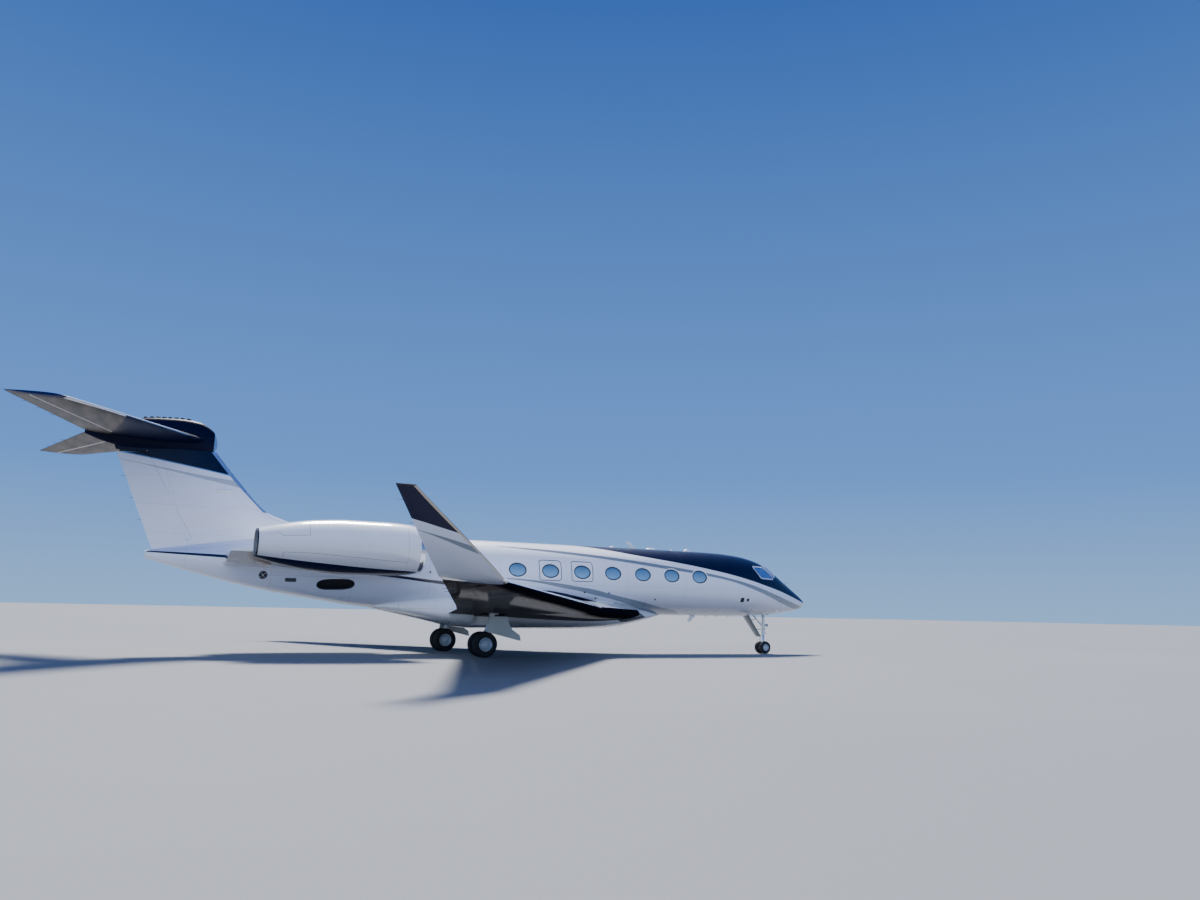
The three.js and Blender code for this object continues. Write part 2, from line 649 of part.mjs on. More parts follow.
// Fan with its spinner
const FAN = { station: 19390, radius: 617, root: 170, blades: 14, depth: 170, thickness: 16, pitch: 38 };
const spinner = [[19030, 0], [19080, 90], [19300, 200], [19480, 210], [19480, 0]];
let fan = turned(spinner, ENGINE.y, ENGINE.z, 16);
for (let i = 0; i < FAN.blades; i += 1) {
  const blade = new THREE.BoxGeometry(FAN.depth, FAN.thickness, FAN.radius - FAN.root)
    .rotateZ(THREE.MathUtils.degToRad(FAN.pitch))
    .translate(at(FAN.station), 0, (FAN.radius + FAN.root) / 2)
    .rotateX((i / FAN.blades) * 2 * Math.PI)
    .translate(0, ENGINE.y, ENGINE.z);
  fan = fan.add(solid(blade));
}
addPair("nacelle", nacelle, composite);
addPair("engine_core", core, darkMetal);
addPair("fan", fan, darkMetal);

// Pylon between the fuselage and the nacelle
const PYLON = placed([
  [18750, 2860], [18640, 2960], [18900, 3110], [20500, 3310], [23300, 3390],
  [24180, 3400], [24330, 2960], [22600, 2860], [20300, 2740],
]);
const pylonSection = (y, rise) => PYLON.map(([x, z]) => [x, y, z + rise]);
const pylon = loft([pylonSection(500, -30), pylonSection(1900, 0)]).subtract(trim).subtract(plug(COWL, FIT));
addPair("pylon", pylon, composite);

// A ring or a wheel body turned about the axle, from an outline of [radius, distance along the axle]
function wheelGeometry(outline) {
  const points = outline.map(([radius, along]) => new THREE.Vector2(radius, along));
  return new THREE.LatheGeometry(points, WHEEL_SIDES, Math.PI / WHEEL_SIDES);
}

// Wheels: both hubs of a leg turn with one axle, and each carries its tyre
function wheelPair(name, leg, centre) {
  const { tyreRadius: r, tyreWidth: w, spacing, rimRadius: rim, axleRadius } = leg;
  const side = spacing / 2;
  const group = new THREE.Group();
  group.position.set(...centre);
  const hub = [
    [0, -side - 0.3 * w], [0.3 * rim, -side - 0.3 * w], [0.6 * rim, -side - 0.1 * w],
    [rim, -side - 0.42 * w], [rim, -side + 0.42 * w], [axleRadius, -side + 0.3 * w],
  ];
  const profile = [...hub, ...hub.map(([radius, y]) => [radius, -y]).reverse()];
  const hubs = new THREE.Mesh(wheelGeometry(profile), hubPaint);
  hubs.name = name + "_hubs";
  group.add(hubs);
  const bead = rim + FIT;
  const tyre = [
    [bead, -0.44 * w], [0.5 * (bead + r), -0.5 * w], [r, -0.3 * w],
    [r, 0.3 * w], [0.5 * (bead + r), 0.5 * w], [bead, 0.44 * w], [bead, -0.44 * w],
  ];
  for (const [label, y] of [["outer", side], ["inner", -side]]) {
    const mesh = new THREE.Mesh(wheelGeometry(tyre), rubber);
    mesh.name = name + "_tyre_" + label;
    mesh.position.y = y;
    group.add(mesh);
  }
  return group;
}

jet.add(wheelPair("main_left", MAIN, mainAxle));
starboard.add(wheelPair("main_right", MAIN, mainAxle));

// Main leg: outer cylinder, sliding tube, axle housing, torque links and side brace in one piece
const lerp = (a, b, t) => a.map((v, i) => v + (b[i] - v) * t);
const legPoint = (t) => lerp(LEG_TOP, mainAxle, t);
let leg = bar(LEG_TOP, legPoint(0.62), 92, 12)
  .add(bar(legPoint(0.55), mainAxle, 62, 12))
  .add(bar([mainAxle[0], MAIN.y - 88, mainAxle[2]], [mainAxle[0], MAIN.y + 88, mainAxle[2]], 95, 12));
const trunnion = [WELL.inner + FIT, WELL.outer - FIT].map((y) => [LEG_TOP[0], y, 1530]);
leg = leg.add(bar(...trunnion, 55, 8));
const knee = [legPoint(0.78)[0] - 260, MAIN.y, legPoint(0.78)[2]];
leg = leg.add(bar(legPoint(0.58), knee, 26, 6)).add(bar(knee, legPoint(0.94), 26, 6));
leg = leg.add(bar(legPoint(0.5), [LEG_TOP[0] + 40, 1960, 1500], 40, 8));
const AXLE_PLAY = 8;
const acrossAxle = ([x, y, z], reach, radius, sides) =>
  bar([x, y - reach, z], [x, y + reach, z], radius, sides);
leg = leg.subtract(acrossAxle(mainAxle, 200, MAIN.axleRadius + AXLE_PLAY, 12));
addPair("main_leg", leg, gearPaint);

// Door plate that hangs on the outboard side of the main leg
const LEG_DOOR = placed([
  [15060, 1400], [15760, 1400], [15830, 870], [14570, 570], [14610, 770], [14900, 960], [15070, 1230],
]);
const LEG_DOOR_Y = [2800, 2830];
const legDoor = prism(LEG_DOOR, "y", ...LEG_DOOR_Y);
const linkHeight = 0.32; // share of the leg's length where a link carries the door
const [linkX, , linkZ] = legPoint(linkHeight);
const link = bar([linkX, MAIN.y, linkZ], [linkX, LEG_DOOR_Y[0] + 5, linkZ], 30, 10);
addPair("main_leg_door", legDoor.add(link).subtract(bar(LEG_TOP, legPoint(0.62), 95, 12)), composite);

// Nose gear: a fixed leg with its drag brace, and a turning tube with the axle
const NOSE = {
  station: 2210,
  tyreRadius: 267,
  tyreWidth: 184,
  spacing: 330,
  rimRadius: 130,
  axleRadius: 26,
};
const noseAxle = [at(NOSE.station), 0, axleHeight(NOSE.tyreRadius)];
const NOSE_LEG_X = at(2170);
const NOSE_LEG = { top: 2040, bottom: 900, radius: 70 };
const noseLeg = bar([NOSE_LEG_X, 0, NOSE_LEG.bottom], [NOSE_LEG_X, 0, NOSE_LEG.top], NOSE_LEG.radius, 14)
  .add(bar([NOSE_LEG_X, -250, 1960], [NOSE_LEG_X, 250, 1960], 45, 8))
  .add(bar([NOSE_LEG_X, 0, 1120], [at(2980), 0, 1900], 38, 8))
  .add(bar([at(2980), -250, 1900], [at(2980), 250, 1900], 38, 8));
add("nose_leg", noseLeg, gearPaint);

// The rear nose-gear door stands across the aircraft behind the leg and carries on down to the wheels
const NOSE_DOOR = { low: [2420, 730], high: [3090, 1640], depth: 28, lowHalf: 190, highHalf: 245 };
const noseDoorEnd = ([station, z], wide) => [
  [at(station), -wide, z],
  [at(station), wide, z],
  [at(station + NOSE_DOOR.depth), wide, z - NOSE_DOOR.depth / 2],
  [at(station + NOSE_DOOR.depth), -wide, z - NOSE_DOOR.depth / 2],
];
const noseDoor = loft([
  noseDoorEnd(NOSE_DOOR.low, NOSE_DOOR.lowHalf),
  noseDoorEnd(NOSE_DOOR.high, NOSE_DOOR.highHalf),
]);
add("nose_leg_door", noseDoor, composite);

// The turning part: tube, steering collar with the towing lug ahead of it, axle housing and torque links
const noseTube = (low, high, radius) => bar([NOSE_LEG_X, 0, low], [NOSE_LEG_X, 0, high], radius, 14);
const FORK_TOP = NOSE_LEG.bottom - 6;
const noseKnee = [NOSE_LEG_X - 190, 0, 620];
const TOW_LUG = { reach: 140, halfWidth: 45, low: 815, high: 885 };
const towLug = box(
  [NOSE_LEG_X, -TOW_LUG.halfWidth, TOW_LUG.low],
  [NOSE_LEG_X + TOW_LUG.reach, TOW_LUG.halfWidth, TOW_LUG.high],
);
const noseFork = noseTube(noseAxle[2], FORK_TOP, 48)
  .add(noseTube(FORK_TOP - 90, FORK_TOP, 84))
  .add(acrossAxle(noseAxle, 62, 58, 14))
  .add(towLug)
  .add(bar([NOSE_LEG_X, 0, FORK_TOP - 44], noseKnee, 18, 6))
  .add(bar(noseKnee, [NOSE_LEG_X, 0, 420], 18, 6))
  .subtract(acrossAxle(noseAxle, 150, NOSE.axleRadius + AXLE_PLAY, 12));
add("nose_fork", noseFork, gearPaint);
jet.add(wheelPair("nose", NOSE, noseAxle));

// Cabin and flight deck, seen through the glass and the open door
const insideRoom = hull(-SKIN - FIT - STRIP_DEPTH - FIT, 1400, 17000);
const floor = insideRoom.intersect(
  box([at(16980), -FAR, FLOOR_TOP - FLOOR_DEPTH], [at(3300), FAR, FLOOR_TOP]),
);
const SILL_RADIUS = 172; // what the door's inner edge sweeps as it opens
const hingeEnd = (station) => [at(station), DOOR_HINGE.y, DOOR_HINGE.z];
const sillRoom = bar(hingeEnd(DOOR.back + 30), hingeEnd(DOOR.front - 30), SILL_RADIUS, 20);
add("cabin_floor", floor.subtract(sillRoom), carpet);

const SEAT = { wide: 620, long: 640, cushion: 440, back: 1130 };
function seat(station, y, facing) {
  const x = at(station);
  const low = FLOOR_TOP + FIT;
  const parts = [
    box([x - 160, y - 130, low], [x + 160, y + 130, low + 300]),
    box(
      [x - SEAT.long / 2, y - SEAT.wide / 2, low + 290],
      [x + SEAT.long / 2, y + SEAT.wide / 2, low + SEAT.cushion],
    ),
  ];
  const rest = x - facing * (SEAT.long / 2 + 30); // middle of the backrest
  parts.push(
    box([rest - 90, y - SEAT.wide / 2 + 30, low + 300], [rest + 90, y + SEAT.wide / 2 - 30, low + SEAT.back]),
  );
  return parts.reduce((a, b) => a.add(b));
}
const SEAT_ROWS = [[7300, -1], [9000, 1], [12100, -1], [13800, 1]];
let seats = box([at(15500), 640, FLOOR_TOP + FIT], [at(7000), 760, FLOOR_TOP + FIT + 25]);
for (const [station, facing] of SEAT_ROWS) seats = seats.add(seat(station, 700, facing));
addPair("cabin_seats", seats.intersect(insideRoom), leather);

// Two crew seats on a plate across the deck, with the centre console between them
const CREW_STATION = 3450;
let crewSeats = box([at(3650), -160, FLOOR_TOP + FIT], [at(2700), 160, FLOOR_TOP + 420]);
crewSeats = crewSeats.add(box([at(3500), -480, FLOOR_TOP + FIT], [at(3400), 480, FLOOR_TOP + 30]));
for (const y of [-480, 480]) {
  crewSeats = crewSeats.add(seat(CREW_STATION, y, 1).intersect(between(3301, 3849)));
}
add("crew_seats", crewSeats.intersect(insideRoom), leather);

const PANEL = placed([[2330, 2350], [2640, 2350], [2640, 3010], [2480, 3120], [2200, 3130], [2150, 3040]]);
add("instrument_panel", prism(PANEL, "y", -FAR, FAR).intersect(insideRoom), darkMetal);

const DOORWAY = { halfWidth: 300, top: 3950 };
const deckWall = insideRoom
  .intersect(box([at(3960), -FAR, FLOOR_TOP + FIT], [at(3900), FAR, 2 * FAR]))
  .subtract(box([at(4000), -DOORWAY.halfWidth, 0], [at(3800), DOORWAY.halfWidth, DOORWAY.top]));
add("deck_bulkhead", deckWall, cabinTrim);

export default jet;
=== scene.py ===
"""A twin-engined business jet with a T-tail and winglets, standing on its own landing gear.

Metres. X points forward, Y to port and Z up, with the origin on the ground under the aircraft's middle.
Stations are measured aft from the tip of the nose, as on a fuselage drawing.
"""
import math

import bmesh
import bpy
import mathutils
import numpy as np
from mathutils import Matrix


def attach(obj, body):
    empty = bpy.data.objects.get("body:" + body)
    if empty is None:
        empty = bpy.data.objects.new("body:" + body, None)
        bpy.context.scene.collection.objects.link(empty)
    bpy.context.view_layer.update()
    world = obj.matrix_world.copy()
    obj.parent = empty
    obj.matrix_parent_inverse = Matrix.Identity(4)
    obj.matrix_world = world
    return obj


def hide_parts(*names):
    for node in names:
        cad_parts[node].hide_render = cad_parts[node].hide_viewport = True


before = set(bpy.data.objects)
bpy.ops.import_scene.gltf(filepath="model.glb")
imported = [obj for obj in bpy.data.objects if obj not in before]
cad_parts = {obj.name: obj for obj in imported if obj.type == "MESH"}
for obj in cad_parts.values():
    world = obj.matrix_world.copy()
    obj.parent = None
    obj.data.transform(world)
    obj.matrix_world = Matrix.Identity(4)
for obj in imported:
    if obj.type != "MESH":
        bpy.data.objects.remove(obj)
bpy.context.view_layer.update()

# Fuselage: a riveted aluminium tube on frames, built in barrels that are joined end to end, filled and
# painted in gloss white, with a navy nose top, a grey sweep and a navy cheatline masked and sprayed on.
# The lining inside is moulded trim panel. The nose cone is composite, so that the radar sees through it.

NOSE_X = 15.21
BODY = np.array([
    # station, crown, keel, half width, height of the widest point
    [0, 2.178, 2.142, 0.020, 2.160], [0.04, 2.272, 2.058, 0.095, 2.163],
    [0.15, 2.375, 1.985, 0.185, 2.172], [0.4, 2.550, 1.905, 0.318, 2.200],
    [0.76, 2.785, 1.828, 0.455, 2.245], [1.3, 3.140, 1.738, 0.640, 2.330],
    [2.0, 3.600, 1.645, 0.850, 2.460], [2.5, 3.850, 1.605, 0.975, 2.560],
    [3.15, 4.035, 1.584, 1.095, 2.660], [3.8, 4.132, 1.572, 1.185, 2.740],
    [4.6, 4.190, 1.562, 1.270, 2.805], [5.6, 4.212, 1.557, 1.335, 2.850],
    [7.0, 4.215, 1.555, 1.370, 2.880], [12.0, 4.214, 1.555, 1.370, 2.880],
    [16.5, 4.212, 1.555, 1.370, 2.880], [18.0, 4.205, 1.562, 1.340, 2.890],
    [19.5, 4.160, 1.650, 1.255, 2.930], [21.5, 4.040, 1.915, 1.045, 3.010],
    [23.5, 3.840, 2.255, 0.760, 3.090], [25.5, 3.520, 2.745, 0.430, 3.170],
    [26.65, 3.325, 3.065, 0.130, 3.195],
])
WALL = 0.09
AROUND = 96


def at(station):
    """The x of a station."""
    return NOSE_X - station


def curve(table, column):
    """A smooth line through a column of a table: cubics with the harmonic mean of the slopes at each row."""
    x, y = table[:, 0], table[:, column]
    rise = np.diff(y) / np.diff(x)
    a, b = rise[:-1], rise[1:]
    same = a * b > 0
    slope = np.concatenate([rise[:1], np.where(same, 2 * a * b / np.where(same, a + b, 1), 0), rise[-1:]])

    def value(s):
        s = np.clip(s, x[0], x[-1])
        i = np.clip(np.searchsorted(x, s, side="right") - 1, 0, len(x) - 2)
        h = x[i + 1] - x[i]
        t = (s - x[i]) / h
        return (y[i] * (1 + 2 * t) * (1 - t) ** 2 + slope[i] * h * t * (1 - t) ** 2
                + y[i + 1] * t * t * (3 - 2 * t) + slope[i + 1] * h * t * t * (t - 1))
    return value


crown, keel, half, waist = (curve(BODY, column) for column in range(1, 5))


def frame_at(station):
    """The fuselage's crown, keel, half width and waist at a station."""
    return crown(station), keel(station), half(station), waist(station)


def pack(*axes):
    """Points from their coordinates along the axes."""
    return np.stack(np.broadcast_arrays(*axes), -1)


def circle(count):
    """The even angles of a full turn."""
    return np.linspace(0, 2 * np.pi, count, endpoint=False)


def hull(station, angle, out=0.0):
    """The fuselage: an upper and a lower half-ellipse that meet at the waist, by the angle from the crown."""
    top, bottom, wide, middle = frame_at(station)
    up = np.cos(angle)
    rise = np.where(up > 0, top + out - middle, middle - bottom + out)
    return pack(at(station), (wide + out) * np.sin(angle), middle + rise * up)


def hull_place(p):
    """The station and angle of points on the fuselage."""
    station = NOSE_X - p[:, 0]
    top, bottom, wide, middle = frame_at(station)
    rise = np.where(p[:, 2] > middle, top - middle, middle - bottom)
    return station, np.arctan2(p[:, 1] / wide, (p[:, 2] - middle) / rise)


def side_skin(x, z, out=0.0):
    """The point on the fuselage's port side at x and z: the half-ellipse solved for y."""
    station = NOSE_X - x
    top, bottom, wide, middle = frame_at(station)
    rise = np.where(z > middle, top - middle, middle - bottom) + out
    y = (wide + out) * np.sqrt(np.clip(1 - ((z - middle) / rise) ** 2, 0, 1))
    return pack(x, y, z)


def top_skin(x, y, out=0.0):
    """The point on top of the fuselage at x and y: the half-ellipse solved for z."""
    station = NOSE_X - x
    rise = crown(station) - waist(station) + out
    z = waist(station) + rise * np.sqrt(np.clip(1 - (y / (half(station) + out)) ** 2, 0, 1))
    return pack(x, y, z)


def grid(points, around=True, loop=False):
    """The vertices and four-sided faces of a grid [row, column], closed across its columns or its rows."""
    m, n = points.shape[:2]
    i = np.arange(m if loop else m - 1)[:, None]
    j = np.arange(n if around else n - 1)[None, :]
    faces = pack(i * n + j, i * n + (j + 1) % n, (i + 1) % m * n + (j + 1) % n, (i + 1) % m * n + j)
    return points.reshape(-1, 3), faces.reshape(-1, 4).tolist()


def closed(points):
    """The grid of rows of points, with a flat face over its first and its last row."""
    verts, faces = grid(points)
    count = points.shape[1]
    return verts, faces + [list(range(count)), list(range(len(verts) - count, len(verts)))]


def prism(outline, axis, low, high):
    """A flat outline pushed along an axis: it is in x and y for "z", x and z for "y", and y and z for "x"."""
    outline = np.asarray(outline, float)
    rows = [np.insert(outline, "xyz".index(axis), level, axis=1) for level in (low, high)]
    return closed(np.stack(rows))


def rect(low_u, low_v, high_u, high_v):
    """The corners of a rectangle."""
    return [[low_u, low_v], [high_u, low_v], [high_u, high_v], [low_u, high_v]]


def about(u, v, half_u, half_v):
    """The corners of a rectangle about a middle."""
    return rect(u - half_u, v - half_v, u + half_u, v + half_v)


def block(low, high):
    """A box between two corners."""
    return prism(rect(*low[:2], *high[:2]), "z", low[2], high[2])


def solid(name, parts, side=1):
    """One closed mesh of several parts, on the port or starboard side, with its seams merged."""
    verts, faces, base = [], [], 0
    for points, corners in parts:
        verts.append(np.asarray(points) * (1, side, 1))
        faces += [[c + base for c in face] for face in corners]
        base += len(points)
    mesh = bpy.data.meshes.new(name)
    mesh.from_pydata(np.concatenate(verts).tolist(), [], faces)
    work = bmesh.new()
    work.from_mesh(mesh)
    bmesh.ops.remove_doubles(work, verts=work.verts, dist=2e-5)
    bmesh.ops.recalc_face_normals(work, faces=work.faces)
    work.to_mesh(mesh)
    work.free()
    obj = bpy.data.objects.new(name, mesh)
    bpy.context.scene.collection.objects.link(obj)
    return obj


def cut(obj, tools, how="DIFFERENCE", side=1, overlap=False):
    """Takes closed tools, which may overlap each other, out of a piece, or keeps only what is inside them."""
    tool = solid("tool", tools, side)
    modifier = obj.modifiers.new("cut", "BOOLEAN")
    modifier.operation, modifier.solver, modifier.object = how, "EXACT", tool
    modifier.use_self = overlap
    bpy.context.view_layer.update()
    shaped = bpy.data.meshes.new_from_object(obj.evaluated_get(bpy.context.evaluated_depsgraph_get()))
    obj.modifiers.clear()
    obj.data = shaped
    shaped.name = obj.name
    bpy.data.objects.remove(tool)


def dress(obj, material, body="airframe", replaces=(), sharp=38):
    """Gives a piece its material, its shading, the body that it rides on and the nodes that it stands for."""
    obj.data.materials.clear()
    obj.data.materials.append(material)
    obj.data.shade_smooth()
    obj.data.set_sharp_from_angle(angle=math.radians(sharp))
    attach(obj, body)
    if replaces:
        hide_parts(*replaces)
    return obj


def other_materials(obj, materials, kinds):
    """Gives each face one of a piece's materials by its number: 0 is the one it has, and these come next."""
    for material in materials:
        obj.data.materials.append(material)
    obj.data.polygons.foreach_set("material_index", kinds.astype(np.int32))


def face_arrays(mesh):
    """Each face's normal and middle, and its number of corners."""
    count = len(mesh.polygons)
    normals, centres, corners = np.zeros(count * 3), np.zeros(count * 3), np.zeros(count, int)
    mesh.polygons.foreach_get("normal", normals)
    mesh.polygons.foreach_get("center", centres)
    mesh.polygons.foreach_get("loop_total", corners)
    return normals.reshape(-1, 3), centres.reshape(-1, 3), corners


def true_normals(obj, surface, place, side=1):
    """Shades a cut piece by the surface it was cut from: the cross product of the surface's two slopes."""
    mesh = obj.data
    points, corner = np.zeros(len(mesh.vertices) * 3), np.zeros(len(mesh.loops), int)
    mesh.vertices.foreach_get("co", points)
    mesh.loops.foreach_get("vertex_index", corner)
    flat, _, corners = face_arrays(mesh)
    flat = np.repeat(flat, corners, axis=0) * (1, side, 1)
    p = points.reshape(-1, 3)[corner] * (1, side, 1)
    u, v = place(p)
    step = 5e-4
    normal = np.cross(surface(u + step, v) - surface(u - step, v),
                      surface(u, v + step) - surface(u, v - step))
    normal /= np.linalg.norm(normal, axis=1, keepdims=True) + 1e-12
    along = (normal * flat).sum(1, keepdims=True)
    normal *= np.sign(along)
    on = (np.linalg.norm(surface(u, v) - p, axis=1, keepdims=True) < 0.002) & (np.abs(along) > 0.7)
    mesh.normals_split_custom_set((np.where(on, normal, flat) * (1, side, 1)).tolist())


class Value:
    """A number in a material, which arithmetic works on: each operator adds one Math node."""

    def __init__(self, finish, socket):
        self.finish, self.socket = finish, socket

    def math(self, operation, *others, clamp=False):
        """The result of a Math node."""
        node = self.finish.node("ShaderNodeMath", {"operation": operation, "use_clamp": clamp}, self, *others)
        return Value(self.finish, node.outputs[0])

    def __add__(self, other):
        return self.math("ADD", other)

    def __sub__(self, other):
        return self.math("SUBTRACT", other)

    def __mul__(self, other):
        return self.math("MULTIPLY", other)

    def __rsub__(self, other):
        return self * -1 + other

    def __or__(self, other):
        return self.math("MAXIMUM", other)

    def __abs__(self):
        return self.math("ABSOLUTE")

    __radd__, __rmul__ = __add__, __mul__

    def above(self, level, soft=0.006):
        """One where the number is above the level and zero below it, over a soft edge."""
        return ((self - level) * (1 / soft)).math("ADD", 0.5, clamp=True)

    def within(self, low, high, soft=0.006):
        """One between two levels."""
        return self.above(low, soft) * (1 - self.above(high, soft))

    def every(self, pitch):
        """The distance to the nearest even multiple of a pitch."""
        return self.math("PINGPONG", pitch)

    def seam(self, wide=0.003, soft=0.002):
        """One where the number is nearly zero: a thin line."""
        return 1 - self.above(wide, soft)


def colour(code):
    """A colour in the shader's light units, from its code on a paint chart."""
    parts = [int(code[i:i + 2], 16) / 255 for i in (0, 2, 4)]
    return tuple(c / 12.92 if c < 0.04045 else ((c + 0.055) / 1.055) ** 2.4 for c in parts) + (1,)


class Finish:
    """A material being made, with the place on the aircraft as x, y and z."""

    def __init__(self, name, **constants):
        self.material = bpy.data.materials.new(name)
        self.material.use_nodes = True
        self.tree = self.material.node_tree
        self.surface = self.tree.nodes["Principled BSDF"]
        for socket, value in constants.items():
            self.surface.inputs[socket.replace("_", " ")].default_value = value
        self.place = self.node("ShaderNodeTexCoord").outputs["Object"]
        split = self.node("ShaderNodeSeparateXYZ", {}, self.place)
        self.x, self.y, self.z = (Value(self, output) for output in split.outputs)

    def node(self, kind, settings=None, *inputs, **named):
        """Adds a node: its settings first, then its sockets' values or links, by place or by name."""
        node = self.tree.nodes.new(kind)
        for key, value in (settings or {}).items():
            setattr(node, key, value)
        pairs = [(node.inputs[i], value) for i, value in enumerate(inputs)]
        for socket, value in pairs + [(node.inputs[key], value) for key, value in named.items()]:
            self.feed(socket, value)
        return node

    def feed(self, socket, value):
        """Links a socket, or sets it to a number or to a colour's code."""
        if isinstance(value, Value):
            self.tree.links.new(value.socket, socket)
        elif isinstance(value, bpy.types.NodeSocket):
            self.tree.links.new(value, socket)
        elif value is not None:
            socket.default_value = colour(value) if isinstance(value, str) else value

    def mix(self, share, first, second):
        """A colour part of the way from the first to the second."""
        node = self.node("ShaderNodeMix", {"data_type": "RGBA"})
        for index, value in ((0, share), (6, first), (7, second)):
            self.feed(node.inputs[index], value)
        return node.outputs[2]

    def layers(self, coat, *steps):
        """A coat with masked colours sprayed over it, one after the other."""
        for share, tint in steps:
            coat = self.mix(share, coat, tint)
        return coat

    def noise(self, scale, detail=2.0, stretch=(1, 1, 1)):
        """Cloudy noise from zero to one, stretched along the axes."""
        place = self.node("ShaderNodeMapping", {}, self.place, Scale=stretch).outputs[0]
        return Value(self, self.node("ShaderNodeTexNoise", {}, place, Scale=scale, Detail=detail).outputs[0])

    def line(self, along, points):
        """A smooth line through [place, level] points: a curve node, both its scales zero to one."""
        points = np.asarray(points, float)
        (low, base), (high, top) = points.min(0), points.max(0)
        node = self.node("ShaderNodeFloatCurve")
        dots = node.mapping.curves[0].points
        for i, (u, v) in enumerate((points - (low, base)) / (high - low, top - base)):
            dot = dots[i] if i < 2 else dots.new(u, v)
            dot.location, dot.handle_type = (u, v), "AUTO_CLAMPED"
        node.mapping.update()
        self.feed(node.inputs["Value"], (along - low) * (1 / (high - low)))
        return Value(self, node.outputs[0]) * (top - base) + base

    def band(self, foot, top, soft=0.006):
        """One between two lines along the aircraft's side."""
        return self.z.within(self.line(self.x, foot), self.line(self.x, top), soft)

    def finish(self, base, roughness, height=None, depth=0.001, **others):
        """Connects the colour, the roughness, a height for the bump in metres, and any other socket."""
        self.feed(self.surface.inputs["Base Color"], base)
        self.feed(self.surface.inputs["Roughness"], roughness)
        for socket, value in others.items():
            self.feed(self.surface.inputs[socket.replace("_", " ")], value)
        if height is not None:
            bump = self.node("ShaderNodeBump", {}, Strength=1.0, Distance=depth, Height=height)
            self.feed(self.surface.inputs["Normal"], bump.outputs[0])
        return self.material


def shade(f, code, depth=0.06):
    """A paint colour that varies a little over the surface, as sprayed and weathered paint does."""
    dark = tuple(c * (1 - depth) for c in colour(code)[:3]) + (1,)
    return f.mix(f.noise(0.9, 4.0), dark, code)


def plain(name, tones, rough, grain=None, depth=0.001, **constants):
    """A simple material. The noises come last in tones (two colours, or one and how far it varies), in rough
    (level and spread) and in grain (the bump's strength)."""
    f = Finish(name, **constants)
    base = f.mix(f.noise(*tones[2:]), *tones[:2]) if len(tones) > 2 else shade(f, *tones)
    relief = f.noise(*grain[1:]) * grain[0] if grain else None
    return f.finish(base, rough[0] + f.noise(*rough[2:]) * rough[1], relief, depth)


WHITE, NAVY, GREY = "f0f2f6", "060c2a", "78838f"
STEEL, GROOVE = "c9cbd0", "3c4048"
GLOSS = {"Coat_Weight": 1.0, "Coat_Roughness": 0.03, "Specular_IOR_Level": 0.25}
NAVY_NOSE = [
    [-11.5, 4.4], [2.2, 4.4], [3.2, 4.222], [4.0, 4.165], [5.16, 4.034], [6.16, 3.892], [7.22, 3.757],
    [8.15, 3.64], [8.93, 3.53], [9.74, 3.405], [10.6, 3.262], [11.52, 3.085], [12.5, 2.862], [13.32, 2.678],
    [14.23, 2.44], [14.92, 2.245], [15.21, 2.165],
]
STRIPE_TOP = [
    [0.3, 3.995], [2.1, 3.942], [2.9, 3.905], [4.29, 3.816], [5.69, 3.696], [7.14, 3.545], [8.53, 3.385],
    [9.5, 3.262], [10.57, 3.094], [11.5, 2.915], [12.48, 2.67], [13.59, 2.367], [14.76, 2.075], [15.21, 1.99],
]
STRIPE_FOOT = [
    [0.3, 3.975], [2.06, 3.862], [2.87, 3.806], [4.23, 3.7], [5.65, 3.572], [7.1, 3.408], [8.5, 3.262],
    [9.48, 3.15], [10.56, 2.985], [11.48, 2.76], [12.49, 2.47], [13.33, 2.206], [14.43, 1.927], [15.21, 1.8],
]
SWEEP_TOP = [
    [0.55, 2.8], [1.8, 2.74], [2.74, 2.66], [3.44, 2.57], [4.16, 2.48], [4.9, 2.33], [5.67, 2.188],
    [6.47, 2.047], [7.33, 1.869], [8.05, 1.758], [8.7, 1.55],
]
SWEEP_FOOT = [
    [0.55, 2.77], [1.8, 2.66], [2.76, 2.51], [3.47, 2.416], [4.2, 2.277], [4.97, 2.14], [5.77, 1.966],
    [6.68, 1.73], [7.3, 1.6], [8.7, 1.5],
]
CHEAT_TOP = [
    [-11.45, 3.3], [-10.7, 3.285], [-9.81, 3.262], [-8.98, 3.235], [-7.0, 3.08], [-5.0, 2.895],
    [-3.41, 2.743], [-2.65, 2.672], [-1.79, 2.597], [0.4, 2.47], [2.0, 2.39], [2.42, 2.37], [2.82, 2.32],
    [3.35, 2.235], [3.86, 2.14], [4.5, 2.005],
]
CHEAT_FOOT = [
    [-11.45, 3.262], [-10.7, 3.222], [-9.81, 3.18], [-8.98, 3.14], [-7.0, 2.985], [-5.0, 2.795],
    [-3.41, 2.65], [-2.65, 2.57], [-1.79, 2.484], [0.4, 2.34], [2.42, 2.205], [2.67, 2.19], [2.93, 2.15],
    [3.2, 2.09], [3.48, 2.03], [3.75, 2.0], [4.5, 2.0],
]
EXIT = {"middle": 2.997, "apart": 0.661, "z": 3.135, "half": (0.445, 0.375), "corner": 0.11, "line": 0.015}


def rounded_box(u, v, half_u, half_v, corner):
    """The distance to the edge of a box with round corners, less than zero inside it."""
    a, b = abs(u) - (half_u - corner), abs(v) - (half_v - corner)
    outside = ((a | 0).math("POWER", 2) + (b | 0).math("POWER", 2)).math("SQRT")
    return outside + (a | b).math("MINIMUM", 0) - corner


